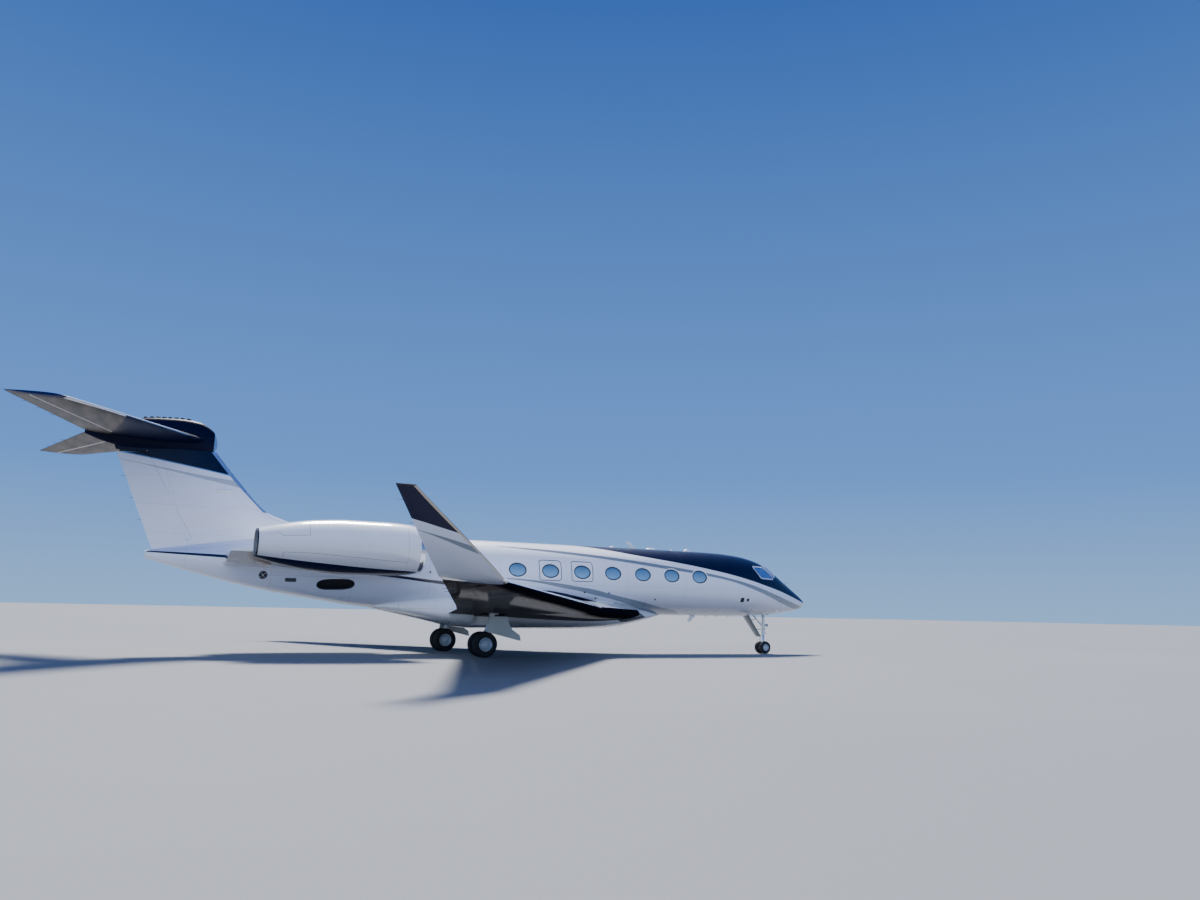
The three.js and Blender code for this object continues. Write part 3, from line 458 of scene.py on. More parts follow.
FIRST_FRAME, FRAME_PITCH, LAPS, RIVET_PITCH = at(6.925), 1.322, (2.62, 3.62), 0.02
f = Finish("body_paint", **GLOSS)
# Grey towards the belly, most towards the nose: painted shade and dark ground reflection.
painted_belly_shade = (1 - f.z.above(2.05, 1.0)) * (0.25 + f.x.above(0.5, 4.0) * 0.55)
# Pale blue over the aft fuselage above the cheatline: a painted sky reflection.
painted_aft_sky_reflection = (1 - f.x.above(-8.6, 2.4)) * f.z.above(f.line(f.x, CHEAT_TOP), 0.02)
# The sides are tinted bluish, a painted sky reflection, and the crown is a brighter white, a painted
# highlight.
coat = f.mix(f.z.above(3.35, 1.3), "d0d8ea", shade(f, "fcfdff", 0.03))
coat = f.layers(coat, (painted_belly_shade, "9b9ca2"), (painted_aft_sky_reflection * 0.85, "aabbe6"))
for top, foot, start, tint in ((STRIPE_TOP, STRIPE_FOOT, 0.35, GREY), (SWEEP_TOP, SWEEP_FOOT, 0.6, GREY),
                               (CHEAT_TOP, CHEAT_FOOT, -11.4, NAVY)):
    coat = f.mix(f.band(foot, top) * f.x.within(start, top[-1][0] + 0.2, 0.02), coat, tint)
navy_nose = f.z.above(f.line(f.x, NAVY_NOSE))
from_frame = (f.x - FIRST_FRAME).every(FRAME_PITCH)
frame_lines = from_frame.seam(0.0035)
lap_lines = abs(f.z - LAPS[0]).math("MINIMUM", abs(f.z - LAPS[1])).seam()
grooves = frame_lines | lap_lines * f.x.within(-8.5, 10.5, 0.1)
exits = rounded_box(abs(f.x - EXIT["middle"]) - EXIT["apart"], f.z - EXIT["z"], *EXIT["half"], EXIT["corner"])
coat = f.layers(coat, (navy_nose, NAVY), (grooves * 0.5, GROOVE),
                (abs(exits).seam(EXIT["line"], 0.004), GROOVE))
rivets = (f.x.every(RIVET_PITCH).math("POWER", 2) + f.z.every(RIVET_PITCH).math("POWER", 2)).math("SQRT")
studs = rivets.seam(0.004) * (from_frame.seam(0.05) * (1 - frame_lines))
relief = grooves * -1 + studs * 0.25 + f.noise(140, 1.0) * 0.02
body_paint = f.finish(coat, 0.24 + f.noise(2.2, 5.0) * 0.1, relief, 0.0012, Coat_Weight=1 - navy_nose * 0.85)

lining = plain("cabin_lining", ("b8ae9c", "d2c9b8", 60, 3.0), (0.62, 0.15, 25), (1, 400), 0.0006,
               Sheen_Weight=0.15)
seal = plain("black_seal", ("0c0d10", "1c1e22", 40), (0.5, 0.2, 60), (1, 300), 0.0004)


def barrel(start, end, step=0.11, depth=WALL):
    """A stretch of fuselage as a closed tube, out along its skin and back along its lining."""
    angle = circle(AROUND)[None, :]
    out_rows = np.linspace(start, end, max(3, round((end - start) / step)))[:, None]
    in_rows = np.linspace(end, start, max(3, round((end - start) / 0.5)))[:, None]
    return grid(np.concatenate([hull(out_rows, angle), hull(in_rows, angle, -depth)]), loop=True)


def line_inside(obj, depth=WALL):
    """Puts the lining on the faces at the wall's full depth, and a seal on an opening's edges."""
    centres = face_arrays(obj.data)[1]
    top, bottom, wide, middle = frame_at(NOSE_X - centres[:, 0])
    up = centres[:, 2] - middle
    rise = np.where(up > 0, top - middle, middle - bottom)
    level = (1 - np.hypot(centres[:, 1] / wide, up / rise)) * np.minimum(wide, rise)
    other_materials(obj, [lining, seal], np.where(level > 0.6 * depth, 1, np.where(level > 0.008, 2, 0)))


def oval(u, v, half_u, half_v, sides=48):
    """Points round an oval."""
    a = np.arange(sides) / sides * 2 * np.pi
    return np.stack([u + half_u * np.cos(a), v + half_v * np.sin(a)], -1)


def rounded(corners, radius, steps=6):
    """An outline with each corner turned into a short parabola between its two sides."""
    corners = np.asarray(corners, float)
    t = np.linspace(0, 1, steps)[:, None]
    reach = np.broadcast_to(radius, len(corners))
    outline = []
    for before, corner, after, r in zip(np.roll(corners, 1, 0), corners, np.roll(corners, -1, 0), reach):
        a, b = (corner + (p - corner) * min(r / np.linalg.norm(p - corner), 0.45) for p in (before, after))
        outline.append(a * (1 - t) ** 2 + corner * 2 * t * (1 - t) + b * t ** 2)
    return np.concatenate(outline)


def evenly(outline, step=0.02):
    """An outline's points set at even steps along its sides."""
    loop = np.concatenate([outline, outline[:1]])
    reach = np.concatenate([[0], np.cumsum(np.linalg.norm(np.diff(loop, axis=0), axis=1))])
    t = np.linspace(0, reach[-1], round(reach[-1] / step), endpoint=False)
    return np.stack([np.interp(t, reach, loop[:, i]) for i in (0, 1)], -1)


def grown(outline, by):
    """An outline moved outwards by a distance, along the mean of the two sides' normals at each point."""
    outline = np.asarray(outline, float)
    side = outline - np.roll(outline, 1, 0)
    normal = np.stack([side[:, 1], -side[:, 0]], -1) / np.linalg.norm(side, axis=1, keepdims=True)
    mean = normal + np.roll(normal, -1, 0)
    mean /= (mean * normal).sum(1, keepdims=True)
    x, y = outline.T
    return outline + mean * by * np.sign((x * np.roll(y, -1) - np.roll(x, -1) * y).sum())


FIRST_WINDOW = 6.264
WINDOWS = [at(FIRST_WINDOW + FRAME_PITCH * i) for i in range(8)]
WINDOW_Z, WINDOW_HALF = 3.11, (0.355, 0.262)
SIDE_CORNERS = [[at(3.25), 3.65], [at(2.59), 3.63], [at(2.12), 3.175], [at(2.94), 3.2]]
SCREEN_CORNERS = [[at(1.78), 0.045], [at(2.01), 0.6], [at(2.48), 0.49], [at(2.44), 0.045]]
SIDE_WINDOW = evenly(rounded(SIDE_CORNERS, (0.08, 0.07, 0.15, 0.07), 9))
WINDSCREEN = evenly(rounded(SCREEN_CORNERS, (0.09, 0.07, 0.07, 0.06), 9))
DOOR = {"front": 4.06, "back": 4.98, "sill": 2.01, "hinge": (0.985, 2.0), "top": 1.8}
BAGGAGE = {"front": 19.35, "back": 20.27, "low": 2.08, "high": 2.7}
CLEAR = 0.01
PORT_X, PORT_Z = -5.48, 2.385
PORT_OVAL = oval(0, 0, 1, 1, 56)
PORT_OVAL = np.sign(PORT_OVAL) * np.abs(PORT_OVAL) ** (0.55, 0.85) * (0.6, 0.17)
PORT_OVAL = PORT_OVAL + pack(PORT_X, PORT_Z + PORT_OVAL[:, 0] * 0.04)


def door_tool(out):
    """The entry door's outline seen from ahead: its sill, and an arc about its hinge as its top edge."""
    y, z = DOOR["hinge"]
    a = np.radians(np.linspace(70, 110, 17))
    arc = np.stack([y + (DOOR["top"] + out) * np.cos(a), z + (DOOR["top"] + out) * np.sin(a)], -1)
    foot = [[y - 0.6, DOOR["sill"] - out], [y + 0.5, DOOR["sill"] - out]]
    return prism(np.concatenate([foot, arc]), "x", at(DOOR["back"] + out), at(DOOR["front"] - out))


def baggage_tool(out):
    """The baggage door's outline seen from the side, with round corners."""
    back, front, low, high = (BAGGAGE[key] for key in ("back", "front", "low", "high"))
    return prism(rounded(rect(at(back) - out, low - out, at(front) + out, high + out), 0.05), "y", 0.3, 3)


def flipped(part):
    """A part on the other side of the aircraft."""
    return part[0] * (1, -1, 1), part[1]


RADOME_END = 1.2996
nose_rows = np.concatenate([np.linspace(0, 0.2, 9), np.linspace(0.25, RADOME_END, 20)])[:, None]
back_rows = np.linspace(RADOME_END, 0.15, 12)[:, None]
ring = circle(AROUND)[None, :]
radome_rows = np.concatenate([hull(nose_rows, ring), hull(back_rows, ring, -0.03)])
radome = solid("radome_shell", [closed(radome_rows)])
dress(radome, body_paint, replaces=["radome"])
true_normals(radome, hull, hull_place)

panes = [prism(SIDE_WINDOW, "y", 0.3, 3), prism(WINDSCREEN, "z", 2.8, 5)]
nose_bay = block((at(3.13), -0.27, 0), (at(1.99), 0.27, 2.0))
window_tools = [prism(oval(x, WINDOW_Z, *WINDOW_HALF), "y", -3, 3) for x in WINDOWS]
BARRELS = [
    ("cockpit_section", 1.3, 3.8496, panes + [flipped(pane) for pane in panes] + [nose_bay]),
    ("entry_section", 3.85, 5.2496, [door_tool(CLEAR)]),
    ("cabin_section", 5.25, 17.1996, window_tools),
    ("aft_fuselage", 17.2, 25.4996, [baggage_tool(CLEAR), flipped(prism(PORT_OVAL, "y", 0.5, 2))]),
]
for name, start, end, tools in BARRELS:
    shell = solid(name + "_skin", [barrel(start, end)])
    cut(shell, tools)
    dress(shell, body_paint, replaces=[name])
    line_inside(shell)
    true_normals(shell, hull, hull_place)

# Aft pressure wall: a pressed aluminium sheet between the cabin and the baggage bay, trimmed like the cabin
# and riveted to the last frame of the cabin.

BULKHEAD = 17.02, 17.1
bulkhead_rows = np.stack([hull(s, ring[0], -WALL + 0.002) for s in BULKHEAD])
dress(solid("aft_pressure_wall", [closed(bulkhead_rows)]), lining)

# Tail cone: a metal fairing riveted to the last frame and painted with the fuselage. The small exhaust pipe
# of the auxiliary power unit opens in its end.

CONE = 25.5, 26.65
PIPE = {"inner": 26.25, "radius": 0.095, "z": 3.195}
cone_rows = hull(np.linspace(*CONE, 24)[:, None], ring)
pipe = pack(at(np.array([[CONE[1]], [PIPE["inner"]]])), PIPE["radius"] * np.sin(ring),
            PIPE["z"] + PIPE["radius"] * np.cos(ring))
cone = solid("tail_cone_skin", [closed(np.concatenate([cone_rows, pipe]))])
dress(cone, body_paint, replaces=["tail_cone"])
true_normals(cone, hull, hull_place)

# Cabin windows: an oval pane each of stretched acrylic, set in a forged frame with a black seal round it.
# The panes of a side share a painted reflection of the sky, lighter towards the foot.

def sheet_on(outline, skin, levels, rings=5):
    """A pane on a curved skin: rings from its middle to its outline outside, and back again inside."""
    middle = outline.mean(0)
    share = np.linspace(0, 1, rings)
    rows = [skin(*(middle + (outline - middle) * s).T, out)
            for out, shares in zip(levels, (share, share[::-1])) for s in shares]
    return grid(np.stack(rows))


def plate_on(outline, proud=0.004, rings=5):
    """A thin plate that stands a little proud of the fuselage's side."""
    return sheet_on(outline, side_skin, (proud, -0.01), rings)


def rim_on(outline, skin, inner, outer, proud, depth):
    """A raised rim on a curved skin between two distances from an outline, with its edges rounded."""
    steps = [(inner, -depth), (inner, proud * 0.6), (inner + (outer - inner) * 0.2, proud),
             (outer - (outer - inner) * 0.2, proud), (outer, proud * 0.4), (outer, -depth)]
    return grid(np.stack([skin(*grown(outline, out).T, level) for out, level in steps]), loop=True)


f = Finish("window_glass", Coat_Weight=1.0, Coat_Roughness=0.01, IOR=1.5)
sky_reflection_tone = f.mix(f.z.above(WINDOW_Z + 0.06, 0.4), "7ba6cb", "35648f")
sky_reflection_tone = f.mix(f.x.above(11), sky_reflection_tone, "1d58a2")
glass = f.finish(f.mix(f.noise(3, 2.0) * 0.3, sky_reflection_tone, "86afd2"), 0.05, Alpha=0.94)
frame_paint = plain("window_frame", ("e6eaf2",), (0.25, 0.1, 20), **GLOSS)
retainer_paint = plain("windscreen_frame", ("c3cbe4",), (0.3, 0.1, 20), Metallic=0.35, Coat_Weight=0.6)
SIDES = ((1, "left"), (-1, "right"))
for side, word in SIDES:
    ovals = [oval(x, WINDOW_Z, *WINDOW_HALF) for x in WINDOWS]
    glazing = [sheet_on(grown(o, -0.006), side_skin, (-0.018, -0.034)) for o in ovals]
    dress(solid("cabin_panes_" + word, glazing, side), glass, replaces=["cabin_windows_" + word])
    seals = [rim_on(o, side_skin, -0.04, -0.0005, -0.006, 0.03) for o in ovals]
    dress(solid("cabin_window_seals_" + word, seals, side), seal)
    rims = [rim_on(o, side_skin, 0.0, 0.042, 0.0025, 0.004) for o in ovals]
    dress(solid("cabin_window_frames_" + word, rims, side), frame_paint)

# Flight-deck windows: four panes of laminated glass, each on a black seal in the skin's frame and held down
# by a metal retainer with a row of bolts.

def rod(start, end, radius, end_radius=None, sides=28, bevel=0.12):
    """A round bar between two points, with its two rims rounded off by a share of its radius."""
    start, end = np.asarray(start, float), np.asarray(end, float)
    reach = np.linalg.norm(end - start)
    along = (end - start) / reach
    across = np.cross(along, (0, 0, 1) if abs(along[2]) < 0.9 else (1, 0, 0))
    across /= np.linalg.norm(across)
    other = np.cross(along, across)
    end_radius = radius if end_radius is None else end_radius
    b0, b1 = min(bevel * radius, reach / 4), min(bevel * end_radius, reach / 4)
    t = np.array([0, 0.3 * b0, b0, reach - b1, reach - 0.3 * b1, reach])[:, None, None]
    r = np.array([radius - b0, radius - 0.3 * b0, radius, end_radius, end_radius - 0.3 * b1, end_radius - b1])
    a = circle(sides)[None, :, None]
    return closed(start + along * t + r[:, None, None] * (across * np.cos(a) + other * np.sin(a)))


PANES = ("side_window_", SIDE_WINDOW, side_skin), ("windscreen_", WINDSCREEN, top_skin)
for side, word in SIDES:
    for name, outline, skin in PANES:
        pane = sheet_on(grown(outline, -0.004), skin, (-0.006, -0.028))
        dress(solid(name + "pane_" + word, [pane], side), glass, replaces=[name + word])
        gasket = rim_on(outline, skin, -0.02, -0.008, 0.001, 0.02)
        dress(solid(name + "seal_" + word, [gasket], side), seal)
        bolts = [rod(skin(*p, 0.002), skin(*p, 0.008), 0.006, sides=8)
                 for p in evenly(grown(outline, 0.016), 0.07)]
        retainer = [rim_on(outline, skin, -0.01, 0.05, 0.005, 0.02)] + bolts
        dress(solid(name + "retainer_" + word, retainer, side), retainer_paint)

# Belly fairing: a laminated composite shell round the wing root, screwed to the fuselage and the wing.
# It has cut-outs for the main wheels, and carries the foot of the grey sweep.

FAIRING = np.array([
    # station, keel, half width, height of its upper edge
    [7.4, 1.560, 0.150, 1.640], [8.1, 1.390, 0.640, 1.760], [8.9, 1.215, 1.010, 1.900],
    [9.7, 1.060, 1.290, 2.050], [10.6, 0.985, 1.480, 2.160], [12.0, 0.950, 1.560, 2.200],
    [15.6, 0.950, 1.560, 2.200], [16.6, 1.065, 1.480, 2.150], [17.6, 1.270, 1.250, 2.050],
    [18.6, 1.480, 0.850, 1.900], [19.3, 1.620, 0.350, 1.780],
])
fair_keel, fair_half, fair_top = (curve(FAIRING, column) for column in (1, 2, 3))
WELL = {"front": 14.98, "back": 15.9, "inner": 1.9, "outer": 2.78, "roof": 1.645}
SQUARISH = 0.75
WAIST_SHARE = 0.45


def fairing_skin(station, angle):
    """A squarish oval: sine and cosine to the power of three quarters, about a line below its middle."""
    bottom, wide, top = fair_keel(station), fair_half(station), fair_top(station)
    middle = bottom + (top - bottom) * WAIST_SHARE
    c, s = (np.sign(v) * np.abs(v) ** SQUARISH for v in (np.cos(angle), np.sin(angle)))
    z = middle + np.where(c > 0, top - middle, middle - bottom) * c
    return pack(at(station), wide * s, z)


def fairing_place(p):
    """The station and angle of points on the fairing."""
    station = NOSE_X - p[:, 0]
    bottom, wide, top = fair_keel(station), fair_half(station), fair_top(station)
    middle = bottom + (top - bottom) * WAIST_SHARE
    c = (p[:, 2] - middle) / np.where(p[:, 2] > middle, top - middle, middle - bottom)
    s = p[:, 1] / wide
    c, s = (np.sign(v) * np.abs(v) ** (1 / SQUARISH) for v in (c, s))
    return station, np.arctan2(s, c)


FIT = 0.0004
hull_tool = closed(hull(np.linspace(2, 26.4, 140)[:, None], ring, FIT))
fairing_part = closed(fairing_skin(np.linspace(*FAIRING[[0, -1], 0], 96)[:, None], ring))
well_room = block((at(WELL["back"]), 1.2, 0), (at(WELL["front"]), WELL["outer"], 1.5))

FAIR_SWEEP_FOOT = [[5.0, 1.86], [5.9, 1.79], [6.65, 1.712], [7.28, 1.6], [8.2, 1.42]]
# The outline of the painted shade on the fairing's toe.
TOE_SHADE_TOP = [[5.2, 1.38], [6.1, 1.646], [6.75, 1.46]]
TOE_SHADE_FOOT = [[5.2, 1.38], [5.49, 1.26], [6.75, 1.46]]
f = Finish("fairing_paint", **GLOSS)
# Grey towards the keel, most towards the front: painted shade and dark ground reflection.
painted_fairing_shade = (1 - f.z.above(1.5, 0.7)) * (0.3 + f.x.above(0, 4.0) * 0.45)
fair_sweep = f.z.above(f.line(f.x, FAIR_SWEEP_FOOT)) * f.x.above(5.2, 0.02)
fair_cheat = f.band(CHEAT_FOOT, CHEAT_TOP) * f.x.within(0.0, 4.5)
# A near-black wedge on the fairing's toe: painted shade.
painted_toe_shade = f.band(TOE_SHADE_FOOT, TOE_SHADE_TOP, 0.03) * f.x.within(5.2, 6.75)
fair_seams = (f.x - 0.35).every(0.9).seam(0.004) | abs(f.z - 1.62).seam()
fair_coat = f.layers(shade(f, WHITE), (painted_fairing_shade, "8f9299"), (fair_sweep, GREY),
                     (f.x.above(5.8, 1.0) * 0.6, "93a0b8"), (fair_cheat, NAVY), (painted_toe_shade * 0.92, "10121c"),
                     (fair_seams * 0.6, GROOVE))
fairing_paint = f.finish(fair_coat, 0.22 + f.noise(1.7, 5.0) * 0.12, fair_seams * -1 + f.noise(150) * 0.02)

# Wing: an aluminium box of machined skins with polished leading edges, light grey paint above and, below, a
# dark colour that is painted shade and ground reflection. The aileron and the flap are hinged near their
# noses; the real flap also slides on tracks.

CAMBER = 0.012
WING = np.array([
    # y, z, leading edge, chord, thickness, twist, tilt, camber
    [1.0, 1.6, 8.85, 7.9, 0.1, 1.2, 0, CAMBER], [3.0, 1.705, 11.48, 5.52, 0.115, 0.8, 0, CAMBER],
    [4.6, 1.785, 12.64, 4.92, 0.105, 0.3, 0, CAMBER], [13.72, 2.241, 19.27, 1.54, 0.09, -1.0, 0, CAMBER],
])
TRAILING_EDGE = 0.005
SECTION = np.linspace(1, -1, 81)


def foil_ring(row, w, out=0.0):
    """A four-digit aerofoil: w runs from the upper trailing edge, 1, round the nose, 0, to the lower, -1."""
    y, z, le, chord, thick, twist, tilt, camber = np.moveaxis(row, -1, 0)
    share = (1 - np.cos(np.pi * w)) / 2
    depth = 5 * thick * chord * (0.2969 * np.sqrt(share) - 0.126 * share - 0.3516 * share ** 2
                                 + 0.2843 * share ** 3 - 0.1036 * share ** 4)
    depth = np.where(share > 0.5, np.maximum(depth, TRAILING_EDGE), depth) + out
    along = share * chord + out * np.where(share < 0.5, -1, 1) * np.abs(1 - 2 * share)
    up = camber * chord * np.sin(np.pi * share) - along * np.tan(np.radians(twist)) + np.sign(w) * depth
    lean = np.radians(tilt)
    return pack(at(le + along), y - up * np.sin(lean), z + up * np.cos(lean))


def foil(rows, u, w, out=0.0):
    """A wing: straight lines between the aerofoils of a table's rows, with u as the row's number."""
    i = np.clip(np.floor(u).astype(int), 0, len(rows) - 2)
    t = np.asarray(u - i)[..., None]
    return foil_ring(rows[i], w, out) * (1 - t) + foil_ring(rows[i + 1], w, out) * t


def foil_place(rows):
    """A function that gives the row's number and w of points on a wing."""
    def place(p):
        u = np.interp(p[:, 1], rows[:, 0], np.arange(len(rows)))
        front, back = (foil(rows, u, np.full(len(u), w)) for w in (0.0, 1.0))
        share = np.clip((front[:, 0] - p[:, 0]) / (front[:, 0] - back[:, 0]), 0, 1)
        w = np.arccos(1 - 2 * share) / np.pi
        middle = (foil(rows, u, w)[:, 2] + foil(rows, u, -w)[:, 2]) / 2
        return u, np.where(p[:, 2] > middle, w, -w)
    return place


def wing_height(station, y):
    """The height of the wing's middle surface."""
    z, le, chord, twist = (np.interp(y, WING[:, 0], WING[:, c]) for c in (1, 2, 3, 5))
    share = (station - le) / chord
    return z + CAMBER * chord * np.sin(np.pi * share) - (station - le) * np.tan(np.radians(twist))


def wing_part(out=0.0):
    """One side's wing as a closed solid, from inside the fuselage to the winglet."""
    rows = np.array([0, 0.5, 1, 1.5, 2, 2.2, 2.4, 2.6, 2.8, 3])[:, None]
    return closed(foil(WING, rows, SECTION[None, :], out))


def plan(outline):
    """Corners given as [station, y], as [x, y]."""
    return [[at(station), y] for station, y in outline]


def strip_tool(outline, axis, low, high, hinge=(), radius=0.0, by=0.0, past=0.0):
    """What a hinged surface is cut out with: its outline pushed along an axis, and its round nose."""
    parts = [prism(grown(outline, by) if by else outline, axis, low, high)]
    if radius:
        start, end = (np.array(p) for p in hinge)
        run = (end - start) / np.linalg.norm(end - start)
        parts.append(rod(start - run * past, end + run * past, radius + by, sides=32, bevel=0))
    return parts


AILERON = plan([[18.65, 9.72], [20.2, 13.2], [20.839, 12.915], [19.563, 9.313]])
AILERON_NOSE = 0.095
FLAP = plan([[16.2, 2.1], [18.5, 9.55], [19.551, 9.225], [17.633, 1.658]])
FLAP_SLOT = plan([[16.195, 2.084], [18.505, 9.566], [19.556, 9.241], [17.628, 1.642]])
aileron_hinge = [[x, y, wing_height(NOSE_X - x, y)] for x, y in AILERON[:2]]
aileron_tool = strip_tool(AILERON, "z", 0, 4, aileron_hinge, AILERON_NOSE)
wing_room = strip_tool(AILERON, "z", 0, 4, aileron_hinge, AILERON_NOSE, CLEAR, 0.03)
wing_room += strip_tool(FLAP_SLOT, "z", 0, 4, by=CLEAR)
wing_room += [block((at(WELL["back"]), WELL["inner"], 0), (at(WELL["front"]), WELL["outer"], WELL["roof"]))]

WING_NOSE = [[row[0], at(row[2])] for row in WING]
RIB_PITCH, SPARS = 0.61, (0.165, 0.95)
LOOKS_UP = 0.7
wing_finishes = []
# The lower finish is dark all over and darker on its leading edge: painted shade and ground reflection.
for f, tone, nose_tone, bright, reach, soft in (
        (Finish("wing_upper_paint", **GLOSS), "d3d8e0", "e2e5ea", 0.6, 0.16, 0.004),
        (Finish("wing_lower_paint_and_shade", Specular_IOR_Level=0.0, Coat_Roughness=0.05), "161a23", "0e0f18", 0,
         0.46, 0.3)):
    span = abs(f.y)
    inset = f.line(span, WING_NOSE) - f.x
    nose_strip = inset.seam(reach, soft)
    spars = abs(inset - SPARS[0]).math("MINIMUM", abs(inset - SPARS[1])).seam()
    seams = (span.every(RIB_PITCH).seam() | spars) * (1 - nose_strip)
    tint = shade(f, tone, 0.1)
    # On the lower finish, pale streaks are painted ground reflection.
    if not bright:
        painted_reflection_streak = f.noise(0.55, 5.0, (7, 0.7, 1)).above(0.5, 0.35)
        tint = f.mix(painted_reflection_streak * (0.45 + span.above(9.5, 9) * 0.4), tint, "625a56")
    tint = f.layers(tint, (seams * 0.55, GROOVE), (nose_strip, nose_tone))
    rough = 0.2 + f.noise(2.5, 5.0) * (1 - nose_strip) * 0.12 if bright else 0.32
    others = {"Metallic": nose_strip * bright} if bright else {"Coat_Weight": (1 - nose_strip) * 0.22}
    wing_finishes.append(f.finish(tint, rough, seams * -1, 0.0012, **others))


def dress_wing(obj, body, replaces, side):
    """A wing piece: upper paint on the faces that look up, and the lower finish, dark with painted shade, on
    the others.
    """
    dress(obj, wing_finishes[0], body, replaces)
    other_materials(obj, [wing_finishes[1]], face_arrays(obj.data)[0][:, 2] < LOOKS_UP)
    true_normals(obj, lambda u, v: foil(WING, u, v), foil_place(WING), side)


for side, word in SIDES:
    wing = solid("wing_skin_" + word, [wing_part()], side)
    cut(wing, wing_room, side=side, overlap=True)
    cut(wing, [hull_tool])
    dress_wing(wing, "airframe", ["wing_" + word], side)
    aileron = solid("aileron_skin_" + word, [wing_part()], side)
    cut(aileron, aileron_tool, "INTERSECT", side, overlap=True)
    dress_wing(aileron, "aileron_" + word, ["aileron_" + word], side)
    flap = solid("flap_skin_" + word, [wing_part()], side)
    cut(flap, strip_tool(FLAP, "z", 0, 4), "INTERSECT", side)
    dress_wing(flap, "flap_" + word, ["flap_" + word], side)

belly = solid("belly_fairing_shell", [fairing_part])
cut(belly, [hull_tool])
cut(belly, [wing_part(FIT * 1.5), flipped(wing_part(FIT * 1.5))])
cut(belly, [well_room, flipped(well_room)])
dress(belly, fairing_paint, replaces=["belly_fairing"])
true_normals(belly, fairing_skin, fairing_place)

# Winglet: a composite tip bolted to the end of the wing box, painted navy at its top and white below, with
# a grey stripe. The white is drawn blue-grey, darker towards the foot, as painted shade. Its leading edge is
# bare metal, against erosion, and its tip cap is dark and matt.

WINGLET = np.array([
    # path, y, z, leading edge, chord, thickness, twist, tilt, camber
    [0.0, 13.7204, 2.241, 19.27, 1.54, 0.09, -1, 0, CAMBER], [0.31, 14.02, 2.33, 19.48, 1.5, 0.085, 0, 28, 0],
    [0.6, 14.23, 2.53, 19.76, 1.4, 0.08, 0, 52, 0], [2.45, 15.166, 4.125, 21.9, 0.42, 0.08, 0, 60, 0],
])
winglet_rows = [curve(WINGLET, column) for column in range(1, 9)]


def winglet_skin(path, w):
    """The aerofoil carried along a path that turns smoothly upwards, with its size as a curve of the path."""
    return foil_ring(np.stack([row(path) for row in winglet_rows], -1), w)


TIP_NAVY = [[-7.2, 3.59], [-6.62, 3.455], [-6.34, 3.392], [-6.0, 3.311], [-5.7, 3.244], [-5.0, 3.08]]
TIP_STRIPE_TOP = [[-6.9, 3.33], [-6.364, 3.221], [-5.902, 3.125], [-5.408, 3.011], [-5.0, 2.91], [-4.4, 2.75]]
TIP_STRIPE_FOOT = [[-6.9, 3.328], [-6.362, 3.207], [-5.889, 3.068], [-5.381, 2.905], [-5.0, 2.8],
                   [-4.4, 2.62]]
TIP_EDGE = [[2.2, at(19.3)], [2.33, at(19.48)], [2.53, at(19.76)], [4.125, at(21.9)], [4.3, at(22.1)]]
TIP_CAP = 4.1
f = Finish("winglet_paint", **GLOSS)
tip_navy = f.z.above(f.line(f.x, TIP_NAVY))
tip_cap = f.z.above(TIP_CAP, 0.004)
tip_bare = (f.line(f.z, TIP_EDGE) - f.x).seam(0.075, 0.004) | tip_cap
# Blue-grey, darker towards the foot: painted shade on the white paint.
tip_coat = f.mix(1 - f.z.above(2.9, 1.4), shade(f, "c0c7d6"), "989ba5")
tip_coat = f.layers(tip_coat, (f.band(TIP_STRIPE_FOOT, TIP_STRIPE_TOP), "626c78"), (tip_navy, NAVY),
                    (tip_bare, f.mix(tip_cap, "b9ad9f", "2b2a2e")))
winglet_paint = f.finish(tip_coat, 0.2 + f.noise(3.0, 5.0) * 0.1 + tip_cap * 0.6, tip_bare * 0.4, 0.001,
                         Metallic=tip_bare * (1 - tip_cap), Coat_Weight=(1 - tip_navy * 0.8) * (1 - tip_cap))
for side, word in SIDES:
    path = np.linspace(0, WINGLET[-1, 0], 40)[:, None]
    winglet = solid("winglet_skin_" + word, [closed(winglet_skin(path, SECTION[None, :]))], side)
    dress(winglet, winglet_paint, replaces=["winglet_" + word])

# Fin and rudder: the fin is an aluminium box whose root runs forward along the fuselage's spine. The rudder
# is a composite surface on four hinges. Both are white, with a thin grey stripe and a navy top, and a rubber
# seal hangs from the fin into the gap over the rudder.

FIN = np.array([
    # height, leading edge, trailing edge, thickness share
    [3.25, 20.9, 26.42, 0.05], [4.15, 20.95, 26.8, 0.05], [4.45, 22.1, 26.925, 0.065],
    [4.74, 22.93, 27.05, 0.075], [5.73, 23.93, 27.465, 0.08], [6.7, 24.76, 27.87, 0.085],
])
fin_front, fin_back, fin_thick = (curve(FIN, column) for column in (1, 2, 3))


def fin_skin(z, w):
    """The aerofoil laid flat at each height: its depth points sideways, and w runs round it."""
    le, chord = fin_front(z), fin_back(z) - fin_front(z)
    zero = np.zeros(np.shape(z))
    ring_points = foil_ring(np.stack([zero, zero, le, chord, fin_thick(z), zero, zero, zero], -1), w)
    return pack(ring_points[..., 0], ring_points[..., 2], z)


def fin_place(p):
    """The height and w of points on the fin."""
    le, te = fin_front(p[:, 2]), fin_back(p[:, 2])
    w = np.arccos(1 - 2 * np.clip((NOSE_X - p[:, 0] - le) / (te - le), 0, 1)) / np.pi
    return p[:, 2], np.where(p[:, 1] > 0, w, -w)


def fin_part():
    """The fin and its rudder as one closed solid, before they are cut apart."""
    spans = (3.25, 4.1, 6), (4.15, 4.75, 14), (4.85, 6.7, 14)
    heights = np.concatenate([np.linspace(*span) for span in spans])
    return closed(fin_skin(heights[:, None], SECTION[None, :]))


def side_plan(outline):
    """Corners given as [station, z], as [x, z]."""
    return [[at(station), z] for station, z in outline]


